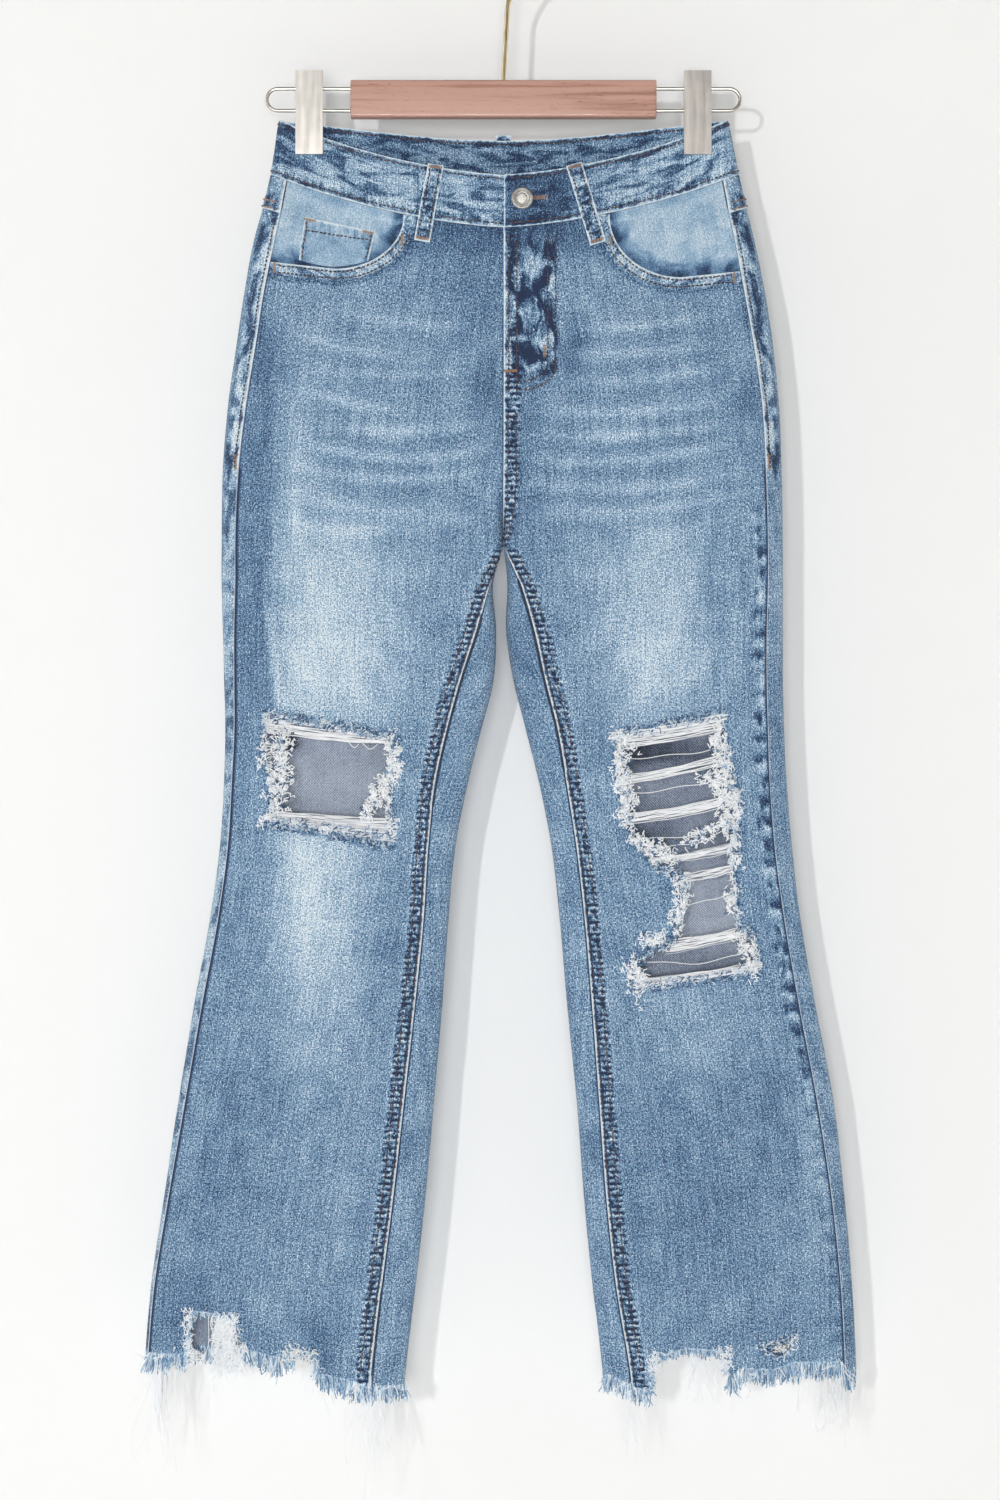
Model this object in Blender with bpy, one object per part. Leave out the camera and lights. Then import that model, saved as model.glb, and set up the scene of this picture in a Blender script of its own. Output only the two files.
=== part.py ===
"""Ripped, frayed jeans hung by the waistband from a wooden clip hanger.

Metres, +Z up, and the jeans face -Y. The origin is the inside of the hook's crown, where a
rail carries the hanger. A place on the cloth is given by its drop below the origin, its
width w out from the centre line, and the face it is on. Left and right are the wearer's.
"""

import bmesh
import bpy
import numpy as np

WALL = 0.0014  # denim, one layer
BAND_WALL = 0.0025  # waistband, folded double
SEAM_GAP = 0.0003  # between pieces that are sewn together
PROUD = 0.0003  # the waistband stands out from the panels
CROTCH = 0.492  # drop of the fork

SIDES = {"right": -1.0, "left": 1.0}  # the sign of X
FRONT, BACK = -1.0, 1.0  # the sign of Y

# Half outline of each leg and its two seams: widths from the centre line, a row for each height.
OUTLINE_COLUMNS = ("drop", "outer", "inner", "outseam", "inseam")
OUTLINE = {
    "right": (
        (0.150, 0.181, 0.000, 0.172, 0.000),
        (0.190, 0.187, 0.000, 0.173, 0.000),
        (0.220, 0.194, 0.000, 0.178, 0.000),
        (0.250, 0.202, 0.000, 0.184, 0.000),
        (0.290, 0.209, 0.000, 0.192, 0.000),
        (0.330, 0.215, 0.000, 0.198, 0.000),
        (0.380, 0.222, 0.000, 0.206, 0.000),
        (0.430, 0.226, 0.000, 0.212, 0.000),
        (0.492, 0.227, 0.000, 0.215, 0.000),
        (0.520, 0.227, 0.008, 0.215, 0.010),
        (0.560, 0.226, 0.006, 0.216, 0.021),
        (0.600, 0.225, 0.008, 0.216, 0.034),
        (0.640, 0.224, 0.018, 0.216, 0.045),
        (0.680, 0.225, 0.028, 0.218, 0.054),
        (0.730, 0.228, 0.038, 0.221, 0.060),
        (0.790, 0.236, 0.044, 0.229, 0.064),
        (0.860, 0.249, 0.049, 0.242, 0.071),
        (0.940, 0.262, 0.056, 0.256, 0.080),
        (1.020, 0.274, 0.063, 0.270, 0.089),
        (1.090, 0.284, 0.071, 0.281, 0.098),
        (1.150, 0.289, 0.078, 0.286, 0.105),
        (1.180, 0.291, 0.081, 0.288, 0.108),
    ),
    "left": (
        (0.150, 0.181, 0.000, 0.174, 0.000),
        (0.190, 0.189, 0.000, 0.175, 0.000),
        (0.220, 0.196, 0.000, 0.180, 0.000),
        (0.250, 0.203, 0.000, 0.186, 0.000),
        (0.290, 0.211, 0.000, 0.193, 0.000),
        (0.330, 0.217, 0.000, 0.200, 0.000),
        (0.380, 0.222, 0.000, 0.207, 0.000),
        (0.430, 0.224, 0.000, 0.210, 0.000),
        (0.492, 0.225, 0.000, 0.212, 0.000),
        (0.520, 0.225, 0.003, 0.212, 0.012),
        (0.560, 0.225, 0.002, 0.211, 0.024),
        (0.600, 0.225, 0.008, 0.211, 0.033),
        (0.640, 0.226, 0.018, 0.212, 0.043),
        (0.680, 0.228, 0.028, 0.213, 0.050),
        (0.730, 0.232, 0.038, 0.217, 0.058),
        (0.790, 0.239, 0.045, 0.225, 0.065),
        (0.860, 0.251, 0.051, 0.237, 0.071),
        (0.940, 0.266, 0.059, 0.252, 0.077),
        (1.020, 0.275, 0.065, 0.264, 0.083),
        (1.090, 0.281, 0.072, 0.271, 0.091),
        (1.150, 0.284, 0.079, 0.274, 0.101),
        (1.180, 0.285, 0.081, 0.275, 0.105),
    ),
}

# The section: depth of the front and back from the hanger's plane where the cloth is flat, how
# far in from each fold it becomes flat, how deep the groove at the rise seam is (1 brings front
# and back together) and how much the clips' pinch still shapes it.
SECTION_COLUMNS = ("drop", "front", "back", "outer_reach", "inner_reach", "groove", "pinch")
SECTION = (
    (0.140, 0.014, 0.013, 0.009, 0.040, 0.00, 1.00),
    (0.180, 0.014, 0.013, 0.010, 0.040, 0.00, 1.00),
    (0.205, 0.014, 0.014, 0.014, 0.040, 0.00, 0.86),
    (0.240, 0.015, 0.014, 0.018, 0.040, 0.00, 0.55),
    (0.290, 0.015, 0.014, 0.022, 0.040, 0.00, 0.24),
    (0.350, 0.015, 0.014, 0.025, 0.036, 0.00, 0.00),
    (0.425, 0.015, 0.014, 0.027, 0.014, 0.00, 0.00),
    (0.440, 0.015, 0.014, 0.028, 0.010, 0.35, 0.00),
    (0.460, 0.015, 0.014, 0.028, 0.008, 0.68, 0.00),
    (0.480, 0.014, 0.014, 0.028, 0.007, 0.92, 0.00),
    (0.492, 0.014, 0.014, 0.028, 0.007, 1.00, 0.00),
    (0.520, 0.014, 0.014, 0.029, 0.009, 1.00, 0.00),
    (0.560, 0.014, 0.014, 0.030, 0.012, 1.00, 0.00),
    (0.640, 0.013, 0.013, 0.030, 0.020, 1.00, 0.00),
    (0.730, 0.012, 0.012, 0.030, 0.026, 1.00, 0.00),
    (0.900, 0.011, 0.012, 0.030, 0.028, 1.00, 0.00),
    (1.200, 0.011, 0.011, 0.026, 0.026, 1.00, 0.00),
)

# Between the clips the waist bows: clear of the plane at the clips, and this much more mid-way.
CLIP_W = 0.156
CLIP_FLAT = 0.013  # the cloth is flat for this far each side of a clip's middle
PINCHED = 0.0028
SIDE_LOOP = 0.0022  # how far each face opens again outside the clips
WAIST_BOW = {FRONT: 0.0195, BACK: 0.0115}

# Soft folds large enough to shape the cloth: a straight ridge from one place to another.
FOLD_COLUMNS = ("side", "face", "w0", "drop0", "w1", "drop1", "half_width", "height")
FOLDS = (
    ("right", FRONT, 0.135, 0.300, 0.085, 0.420, 0.022, 0.0020),
    ("left", FRONT, 0.140, 0.300, 0.095, 0.430, 0.022, 0.0020),
    ("right", FRONT, 0.186, 0.540, 0.180, 0.640, 0.015, 0.0020),
    ("left", FRONT, 0.060, 0.560, 0.130, 0.640, 0.020, -0.0020),
    ("right", FRONT, 0.080, 0.600, 0.150, 0.560, 0.020, -0.0015),
    ("left", FRONT, 0.255, 0.980, 0.235, 1.080, 0.018, 0.0025),
    ("right", FRONT, 0.240, 0.900, 0.215, 1.020, 0.020, 0.0020),
    ("right", BACK, 0.060, 0.520, 0.150, 0.560, 0.020, 0.0030),
    ("left", BACK, 0.060, 0.525, 0.160, 0.580, 0.022, 0.0030),
    ("right", BACK, 0.110, 0.720, 0.210, 0.700, 0.020, 0.0025),
    ("left", BACK, 0.100, 0.710, 0.215, 0.735, 0.020, 0.0025),
)

# Edges that cross the garment: drop at the side fold, and at the centre of the front and back.
WAIST_TOP = dict(side=0.149, front=0.1968, back=0.1630, power=1.6)
WAIST_SEAM = dict(side=0.193, front=0.2384, back=0.2050, power=1.6)
YOKE_SEAM = dict(side=0.220, front=0.2920, back=0.2740, power=1.0)

# Places of the waistband's stations that the clips don't set: the underlap's widths, where it
# steps out beside the lap's end, the last before each side fold, round that fold (on the
# section), and the lap's widths.
BAND_UNDERLAP = (0.034, 0.022, 0.010, 0.001)
BAND_STEP = (0.0008, 0.0070)
BAND_LAST = 0.1765
BAND_TURN = (-0.55, -0.25, 0.0, 0.25, 0.55)
BAND_LAP = (0.010, 0.0004)

# Nominal drops of the panels' rows. The first follows the seam above, the last the hem.
FRONT_ROWS = (
    0.193, 0.208, 0.226, 0.248, 0.274, 0.306, 0.350, 0.395, 0.430, 0.450, 0.468, 0.482, CROTCH, 0.504,
    0.520, 0.545, 0.580, 0.620, 0.670, 0.730, 0.800, 0.870, 0.940, 1.010, 1.080, 1.175,
)  # fmt: skip
BACK_ROWS = (0.220, 0.240, 0.268, 0.306, 0.350) + FRONT_ROWS[7:]
FACING_ROWS, FACING_COLUMNS = 5, 8  # of the front panel's grid, from its upper outer corner
TOP_SETTLES = 0.345  # rows below this drop are level

# Panels' columns, from the outseam to the inside seam: the column numbers of the knots, and the
# place on the section (see loop_point) of each knot between the seams.
COLUMN_KNOTS = {FRONT: (0, 7, 11), BACK: (0, 2, 9, 16)}
KNOT_PLACES = {FRONT: (-1.8,), BACK: (0.0, 2.0)}

# Torn hems, as (w, drop) from the inner fold to the outer one.
HEM = {
    ("right", FRONT): (
        (0.060, 1.1665), (0.109, 1.1665), (0.124, 1.1616), (0.148, 1.1560), (0.150, 1.1400),
        (0.165, 1.1375), (0.179, 1.1435), (0.206, 1.1370), (0.211, 1.1200), (0.219, 1.1125),
        (0.234, 1.1076), (0.251, 1.1056), (0.254, 1.1345), (0.258, 1.1405), (0.310, 1.1405),
    ),
    ("left", FRONT): (
        (0.060, 1.1590), (0.088, 1.1590), (0.107, 1.1675), (0.117, 1.1688), (0.119, 1.1440),
        (0.134, 1.1395), (0.146, 1.1360), (0.176, 1.1380), (0.179, 1.1530), (0.183, 1.1585),
        (0.190, 1.1520), (0.217, 1.1530), (0.232, 1.1470), (0.272, 1.1470), (0.275, 1.1550),
        (0.310, 1.1550),
    ),
    ("right", BACK): (
        (0.060, 1.1665), (0.082, 1.1665), (0.092, 1.1580), (0.146, 1.1410), (0.152, 1.1310),
        (0.178, 1.1340), (0.200, 1.1400), (0.235, 1.1370), (0.280, 1.1405), (0.310, 1.1405),
    ),
    ("left", BACK): (
        (0.060, 1.1590), (0.088, 1.1590), (0.105, 1.1500), (0.121, 1.1390), (0.146, 1.1320),
        (0.176, 1.1340), (0.200, 1.1440), (0.230, 1.1430), (0.278, 1.1550), (0.310, 1.1550),
    ),
}  # fmt: skip

# Rips in the front panels: outlines as (w, drop).
KNEE_RIP = {
    "right": (
        (0.191, 0.626), (0.088, 0.643), (0.091, 0.690), (0.090, 0.726),
        (0.187, 0.714), (0.186, 0.690), (0.193, 0.655),
    ),
    "left": (
        (0.088, 0.644), (0.175, 0.626), (0.177, 0.642), (0.189, 0.696), (0.184, 0.744),
        (0.189, 0.796), (0.203, 0.804), (0.205, 0.834), (0.107, 0.848), (0.101, 0.824),
        (0.138, 0.806), (0.146, 0.760), (0.123, 0.752), (0.102, 0.729), (0.093, 0.688),
    ),
}  # fmt: skip
HEM_RIP = ((0.203, 1.135), (0.236, 1.126), (0.224, 1.143))  # in the left hem

# Bands of loose weft thread across the rips: width, upper and lower drop at each end.
BAND_COLUMNS = ("side", "w0", "top0", "foot0", "w1", "top1", "foot1")
KNEE_BANDS = (
    ("right", 0.084, 0.6405, 0.6510, 0.194, 0.6270, 0.6420),
    ("right", 0.086, 0.7105, 0.7225, 0.190, 0.7040, 0.7120),
    ("left", 0.085, 0.6460, 0.6550, 0.180, 0.6300, 0.6400),
    ("left", 0.090, 0.6780, 0.6850, 0.186, 0.6570, 0.6650),
    ("left", 0.094, 0.7080, 0.7160, 0.192, 0.6900, 0.6980),
    ("left", 0.120, 0.7420, 0.7470, 0.188, 0.7290, 0.7370),
    ("left", 0.141, 0.7560, 0.7620, 0.190, 0.7450, 0.7510),
    ("left", 0.128, 0.8090, 0.8190, 0.196, 0.7970, 0.8050),
    ("left", 0.102, 0.8400, 0.8460, 0.208, 0.8280, 0.8340),
)
BAND_THICKNESS, BAND_SAG = 0.0009, 0.0015

# Front pocket mouths: an elliptical scoop from the waistband to the side.
MOUTH_COLUMNS = ("w_start", "w_low", "low", "w_end", "end")
MOUTH = {
    "right": (0.080, 0.135, 0.2704, 0.200, 0.2600),
    "left": (0.085, 0.142, 0.2772, 0.205, 0.2680),
}
MOUTH_TOP = 0.2284  # where each scoop starts, behind the waistband
MOUTH_PAST = 0.03  # how far past the side its cutter runs
COIN_POCKET = ((0.1596, 0.2280), (0.1028, 0.2408), (0.1084, 0.2640), (0.1640, 0.2630))

# Back pockets: centre, top, height at the corners, depth of the point, half widths.
BACK_POCKET = dict(w=0.106, top=0.292, side=0.112, point=0.022, top_half=0.070, foot_half=0.060)

# Belt loops: name, X and drop of the middle of each end, and the face.
LOOP_COLUMNS = ("name", "x0", "drop0", "x1", "drop1", "face")
BELT_LOOPS = (
    ("front_right", -0.0540, 0.1885, -0.0652, 0.2492, FRONT),
    ("front_left", 0.0562, 0.1880, 0.0756, 0.2508, FRONT),
    ("back_centre", 0.0000, 0.1580, 0.0000, 0.2200, BACK),
    ("back_right", -0.1160, 0.1572, -0.1190, 0.2130, BACK),
    ("back_left", 0.1160, 0.1572, 0.1190, 0.2130, BACK),
)
LOOP_WIDTH, LOOP_THICKNESS, LOOP_SLACK = 0.0125, 0.0018, 0.0022

FACING_THICKNESS, POCKET_THICKNESS = 0.0010, 0.0012

# The fly zip, behind the lap; the slider's half widths run from its crown to its tab's end.
ZIP = dict(
    x=0.001, half_width=0.013, top=0.2425, foot=0.372, tape=0.0008, bow=0.0038,
    slider=0.0022, slider_top=0.004, slider_length=0.034,
    slider_at=(0.0, 0.12, 0.33, 0.40, 0.90, 1.0),
    slider_half=(0.0024, 0.0038, 0.0034, 0.0020, 0.0026, 0.0016),
)  # fmt: skip

BUTTON_AT = (0.0148, 0.2157)  # X, drop
BUTTON_RADIUS, BUTTON_DOME = 0.00875, 0.0032
BUTTON_NECK = 0.0028  # radius of the shank

# Long tufts in the frayed hems, at a width from the centre line.
TUFT_COLUMNS = ("w", "half_width", "length")
TUFTS = {
    ("right", FRONT): ((0.268, 0.012, 0.088), (0.228, 0.013, 0.060), (0.112, 0.012, 0.070)),
    ("left", FRONT): ((0.098, 0.011, 0.055), (0.262, 0.015, 0.058), (0.190, 0.010, 0.030)),
    ("right", BACK): ((0.275, 0.012, 0.045), (0.150, 0.012, 0.035)),
    ("left", BACK): ((0.270, 0.012, 0.040), (0.160, 0.012, 0.038)),
}
FRINGE_THICKNESS, FRINGE_LENGTH, FRINGE_WAVE = 0.0010, 0.012, 0.007
FRINGE_STEP, FRINGE_GAP = 0.0085, 0.0006  # between its columns, and below the cloth
FOLD_TURNS = (-0.25, 0.0, 0.25)  # its columns about each fold, on the section

# Depths that cutters run to, in Y
CLEAR_OF_CLOTH = 0.060
FRONT_ONLY = -0.0002
FOLD_Y = 0.0001  # where the front's hem gives way to the back's, at the folds
BELOW_ALL = 1.25  # a drop

# Hanger
BAR = dict(half_width=0.123, top=0.1174, foot=0.1474, half_depth=0.006, bevel=0.0015)
WIRE_RADIUS = 0.0015
WIRE_END = 0.192  # outer end of each wire loop
WIRE_DROPS = (0.1236, 0.1412)
CLIP = dict(
    half_width=0.011, top=0.1104, foot=0.1776, face=0.0075, sheet=0.0012, relief=(0.1460, 0.1500)
)
CLIP_JAW = 0.020  # height of the solid jaw that grips the cloth
CLIP_OPEN = 0.001  # how far past the hanger's plane each plate's hollow is cut
PIN_RADIUS = 0.0015
HOOK_RADIUS, HOOK_INNER = 0.0020, 0.019
HOOK_TURN = (-40.0, 205.0)  # degrees round the crook, from the stem's side to the tip
HOOK_NECK = (0.0030, -0.0620)  # X and Z where the stem starts to swing into the crook
HOOK_SWING = (0.012, 0.014)  # reach of that curve's two handles

DENIM = (0.23, 0.35, 0.50)
DENIM_DARK = (0.13, 0.22, 0.34)
DENIM_PALE = (0.42, 0.52, 0.62)
THREAD = (0.78, 0.82, 0.84)
STEEL = (0.62, 0.60, 0.58)
BRASS = (0.75, 0.62, 0.42)
WOOD = (0.56, 0.33, 0.25)
CUTTER_RED = (1.0, 0.0, 0.0)


def column(table, names, name, drop):
    """One column of a table at these drops, through a smooth curve (cubic Hermite)."""
    values = np.array([row[names.index(name)] for row in table], float)
    places = np.array([row[0] for row in table], float)
    slopes = np.gradient(values, places)
    drop = np.clip(drop, places[0], places[-1])
    i = np.clip(np.searchsorted(places, drop) - 1, 0, len(places) - 2)
    step = places[i + 1] - places[i]
    t = (drop - places[i]) / step
    return (
        (2 * t**3 - 3 * t**2 + 1) * values[i]
        + (t**3 - 2 * t**2 + t) * step * slopes[i]
        + (3 * t**2 - 2 * t**3) * values[i + 1]
        + (t**3 - t**2) * step * slopes[i + 1]
    )


def outline(side, name, drop):
    """A half width of this side. Inside edges start at the fork, and are half a seam above it."""
    table = OUTLINE[side]
    if name in ("outer", "outseam"):
        return column(table, OUTLINE_COLUMNS, name, drop)
    legs = [row for row in table if row[0] >= CROTCH]
    below = column(legs, OUTLINE_COLUMNS, name, drop)
    return np.where(np.asarray(drop) > CROTCH, np.maximum(below, SEAM_GAP / 2), SEAM_GAP / 2)


def section(name, drop):
    return column(SECTION, SECTION_COLUMNS, name, drop)


def fold_height(side, face, w, drop):
    """The sum of this face's folds: a Gaussian across each, faded towards its two ends."""
    total = np.zeros(np.broadcast(w, drop).shape)
    for row in FOLDS:
        fold = dict(zip(FOLD_COLUMNS, row))
        if fold["side"] != side or fold["face"] != face:
            continue
        start = np.array((fold["w0"], fold["drop0"]))
        run = np.array((fold["w1"], fold["drop1"])) - start
        length = np.hypot(*run)
        along = ((w - start[0]) * run[0] + (drop - start[1]) * run[1]) / length**2
        across = ((w - start[0]) * run[1] - (drop - start[1]) * run[0]) / length
        fade = np.sin(np.pi * np.clip(along, 0, 1))
        total = total + fold["height"] * fade * np.exp(-((across / fold["half_width"]) ** 2))
    return total


def flat_depth(side, face, w, drop):
    """Depth of a face away from its folded edges: the hip's, mixed with the pinched waist's."""
    plain = section("front" if face == FRONT else "back", drop)
    inside = np.clip((CLIP_W - CLIP_FLAT - w) / (CLIP_W - CLIP_FLAT), 0, 1)
    bow = WAIST_BOW[face] * np.sin(np.pi / 2 * inside) ** 1.4
    outside = np.clip((w - CLIP_W - CLIP_FLAT) / 0.010, 0, 1)
    pinched = PINCHED + bow + SIDE_LOOP * outside
    share = np.clip(section("pinch", drop), 0, 1)
    return plain + (pinched - plain) * share


def loop_point(side, q, drop, inset=0.0):
    """A point of one side's section, at this depth under the outer surface.

    q runs round the section: -3 the front at the inner edge, -2 to -1 the flat front, 0 the
    outer fold, 1 to 2 the flat back, 3 the inner edge, and 3 to 6 the front again from there.
    """
    q, drop = np.broadcast_arrays(np.asarray(q, float), np.asarray(drop, float))
    front = (q < 0) | (q > 3)
    p = np.where(q > 3, 6 - q, np.abs(q))
    groove = np.clip(section("groove", drop), 0, 1)
    groove = np.where(drop >= CROTCH, 1.0, groove)
    outer_in, inner_in = inset, inset * groove
    outer_reach, inner_reach = section("outer_reach", drop), section("inner_reach", drop)
    outer, inner = outline(side, "outer", drop), outline(side, "inner", drop)
    outer_share = 1 - np.cos(np.pi / 2 * np.clip(p, 0, 1))
    inner_share = 1 - np.cos(np.pi / 2 * np.clip(3 - p, 0, 1))
    w = (outer - outer_reach) + (p - 1) * ((inner + inner_reach) - (outer - outer_reach))
    w = np.where(p < 1, outer - outer_in - (outer_reach - outer_in) * outer_share, w)
    w = np.where(p > 2, inner + inner_in + (inner_reach - inner_in) * inner_share, w)
    rounding = np.sqrt(np.clip(1 - (1 - outer_share) ** 2, 0, 1))
    rounding = rounding * np.sqrt(np.clip(1 - (groove * (1 - inner_share)) ** 2, 0, 1))
    depth = np.where(front, flat_depth(side, FRONT, w, drop), flat_depth(side, BACK, w, drop))
    ridge = np.where(front, fold_height(side, FRONT, w, drop), fold_height(side, BACK, w, drop))
    y = np.where(front, FRONT, BACK) * (depth - inset + ridge * rounding) * rounding
    return np.stack([SIDES[side] * w, y, -drop], axis=-1)


def q_of(side, w, drop):
    """How far along the section, 0 at the outer fold to 3 at the inner edge, this width lies."""
    outer, inner = outline(side, "outer", drop), outline(side, "inner", drop)
    outer_reach, inner_reach = section("outer_reach", drop), section("inner_reach", drop)
    near_outer = 2 / np.pi * np.arccos(np.clip(1 - (outer - w) / outer_reach, 0, 1))
    near_inner = 3 - 2 / np.pi * np.arccos(np.clip(1 - (w - inner) / inner_reach, 0, 1))
    flat = 1 + (outer - outer_reach - w) / ((outer - outer_reach) - (inner + inner_reach))
    return np.where(flat < 1, near_outer, np.where(flat > 2, near_inner, flat))


def face_point(side, face, w, drop, inset=0.0):
    """The point of a face at a width and drop."""
    w, drop = np.broadcast_arrays(np.asarray(w, float), np.asarray(drop, float))
    q = q_of(side, w, drop)
    point = loop_point(side, face * q, drop, inset)
    point[..., 0] = SIDES[side] * w
    return point


def garment_point(face, x, drop, inset=0.0):
    """The point of a face at an X, on whichever side that is."""
    x = np.asarray(x, float)
    right = face_point("right", face, np.maximum(-x, 0), drop, inset)
    left = face_point("left", face, np.maximum(x, 0), drop, inset)
    point = np.where((x < 0)[..., None], right, left)
    point[..., 0] = x
    return point


def edge_drop(edge, side, face, w):
    """Drop of an edge that crosses the garment, at a width on a face."""
    centre = np.where(face == FRONT, edge["front"], edge["back"])
    share = np.clip(np.abs(w) / outline(side, "outer", edge["side"]), 0, 1)
    return edge["side"] + (centre - edge["side"]) * (1 - share ** edge["power"])


def trimmed(side, q, drop, towards):
    """q moved by half a seam's gap along the cloth, to this side (+1 or -1)."""
    ahead = loop_point(side, q + 0.004 * towards, drop)
    speed = np.linalg.norm(ahead - loop_point(side, q, drop), axis=-1) / 0.004
    return q + towards * (SEAM_GAP / 2) / np.maximum(speed, 1e-4)


def seam_q(side, drop):
    """Where the outseam and the inseam lie on the section. The rise is at the inner edge."""
    outseam = q_of(side, outline(side, "outseam", drop), drop)
    inseam = q_of(side, outline(side, "inseam", drop), drop)
    return outseam, np.where(drop < CROTCH, 3.0, inseam)


def panel_span(side, face, drop):
    """A panel's two long edges on the section: at the outseam, and at the inseam or the rise."""
    outseam, inseam = seam_q(side, drop)
    at_rise = drop < CROTCH
    if face == FRONT:
        end = np.where(at_rise, -inseam, trimmed(side, -inseam, drop, 1))
        return trimmed(side, -outseam, drop, -1), end
    end = np.where(at_rise, inseam, trimmed(side, 6 - inseam, drop, -1))
    return trimmed(side, -outseam, drop, 1), end


def q_grid(side, face, drop):
    """q of each column of a panel at each of its points, even between the knots."""
    start, end = panel_span(side, face, drop)
    knots, stops = COLUMN_KNOTS[face], (start, *KNOT_PLACES[face], end)
    column_number = np.arange(knots[-1] + 1)[None, :]
    q = start
    for low, high, before, after in zip(knots, knots[1:], stops, stops[1:]):
        share = (column_number - low) / (high - low)
        q = np.where(column_number >= low, before + share * (after - before), q)
    return q


def facing_of(q):
    """Which face each place on the section is on."""
    return np.where((q < 0) | (q > 3), FRONT, BACK)


def settle(side, face, drop_of):
    """(q, drop) of a panel's points, where the drop depends on the width and the width on both."""
    drop = drop_of(np.full((1, COLUMN_KNOTS[face][-1] + 1), 0.1), face)
    for _ in range(6):
        q = q_grid(side, face, drop)
        drop = drop_of(np.abs(loop_point(side, q, drop)[..., 0]), facing_of(q))
    return q, drop


def panel_drops(side, rows, seam):
    """The drops of a panel's rows: along the seam above, level from the hip down."""
    rows = np.array(rows)[:, None]
    lean = np.clip((TOP_SETTLES - rows) / (TOP_SETTLES - rows[0, 0]), 0, 1)

    def drop_of(w, facing):
        seam_drop = edge_drop(seam, side, facing, w) + SEAM_GAP
        return rows + lean * (seam_drop - rows[0, 0])

    return drop_of


def hem_drop(side, facing, w):
    """Drop of the torn hem at these widths, on the face that each point is on."""
    front, back = (np.array(HEM[side, face]).T for face in (FRONT, BACK))
    return np.where(facing == FRONT, np.interp(w, *front), np.interp(w, *back))


def material(name, colour, roughness, metallic=0.0):
    made = bpy.data.materials.new(name)
    made.use_nodes = True
    shader = made.node_tree.nodes["Principled BSDF"]
    shader.inputs["Base Color"].default_value = (*colour, 1.0)
    shader.inputs["Roughness"].default_value = roughness
    shader.inputs["Metallic"].default_value = metallic
    return made


def add_object(name, points, faces, made):
    mesh = bpy.data.meshes.new(name)
    mesh.from_pydata([tuple(p) for p in points], [], [tuple(f) for f in faces])
    tidy = bmesh.new()
    tidy.from_mesh(mesh)
    bmesh.ops.recalc_face_normals(tidy, faces=tidy.faces)
    tidy.to_mesh(mesh)
    tidy.free()
    mesh.shade_smooth()
    mesh.set_sharp_from_angle(angle=np.radians(35))
    mesh.materials.append(made)
    obj = bpy.data.objects.new(name, mesh)
    bpy.context.scene.collection.objects.link(obj)
    return obj


def wall(name, outer, inner, made):
    """The closed wall between two grids of points, with a rim all round.

    Each cell is split along the same diagonal, so that layers on one grid stay parallel.
    """
    rows, columns = outer.shape[:2]
    index = np.arange(rows * columns).reshape(rows, columns)
    first = np.stack([index[:-1, :-1], index[1:, :-1], index[1:, 1:]], axis=-1)
    second = np.stack([index[:-1, :-1], index[1:, 1:], index[:-1, 1:]], axis=-1)
    triangles = np.concatenate([first.reshape(-1, 3), second.reshape(-1, 3)])
    ring = np.concatenate([index[0, :-1], index[:-1, -1], index[-1, :0:-1], index[:0:-1, 0]])
    after = np.roll(ring, -1)
    under = rows * columns
    rim = np.stack([ring, after, after + under, ring + under], axis=-1)
    faces = [*triangles.tolist(), *(triangles[:, ::-1] + under).tolist(), *rim.tolist()]
    points = np.concatenate([outer.reshape(-1, 3), inner.reshape(-1, 3)])
    return add_object(name, points, faces, made)


def prisms(name, outlines, low, high, made, axes=(0, 2)):
    """Straight prisms on these outlines, from low to high along the third axis."""
    points, faces = [], []
    along = 3 - sum(axes)
    for shape in outlines:
        first, count = len(points), len(shape)
        for level in (low, high):
            for a, b in shape:
                point = [0.0, 0.0, 0.0]
                point[axes[0]], point[axes[1]], point[along] = a, b, level
                points.append(point)
        near, far = range(first, first + count), range(first + count, first + 2 * count)
        faces += [list(near), list(far)[::-1]]
        faces += [(near[i - 1], far[i - 1], far[i], near[i]) for i in range(count)]
    return add_object(name, points, faces, made)


def as_cutter(obj):
    """Hides an object that only shapes others, and gives it back."""
    obj.hide_render = True
    obj.hide_set(True)
    obj.display_type = "WIRE"
    return obj


def boolean(obj, tool, operation="DIFFERENCE"):
    change = obj.modifiers.new(operation.lower(), "BOOLEAN")
    change.operation = operation
    change.object = tool


def on_cloth(side, shape):
    """An outline given as (w, drop) turned to X and Z."""
    return [(SIDES[side] * w, -drop) for w, drop in shape]


def below_hem(side, face):
    """The outline of all that lies below a torn hem, a little past both folds."""
    hem = HEM[side, face]
    return on_cloth(side, hem + ((hem[-1][0], BELOW_ALL), (hem[0][0], BELOW_ALL)))


def mouth_outline(side):
    """The pocket mouth: a quarter ellipse from the waistband, then a rising line past the side."""
    mouth = dict(zip(MOUTH_COLUMNS, MOUTH[side]))
    turn = np.linspace(0, np.pi / 2, 9)
    w = mouth["w_low"] - (mouth["w_low"] - mouth["w_start"]) * np.cos(turn)
    drop = MOUTH_TOP + (mouth["low"] - MOUTH_TOP) * np.sin(turn)
    past = mouth["w_end"] + MOUTH_PAST
    above = WAIST_TOP["side"]
    return [*zip(w, drop), (past, mouth["end"]), (past, above), (mouth["w_start"], above)]


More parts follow.
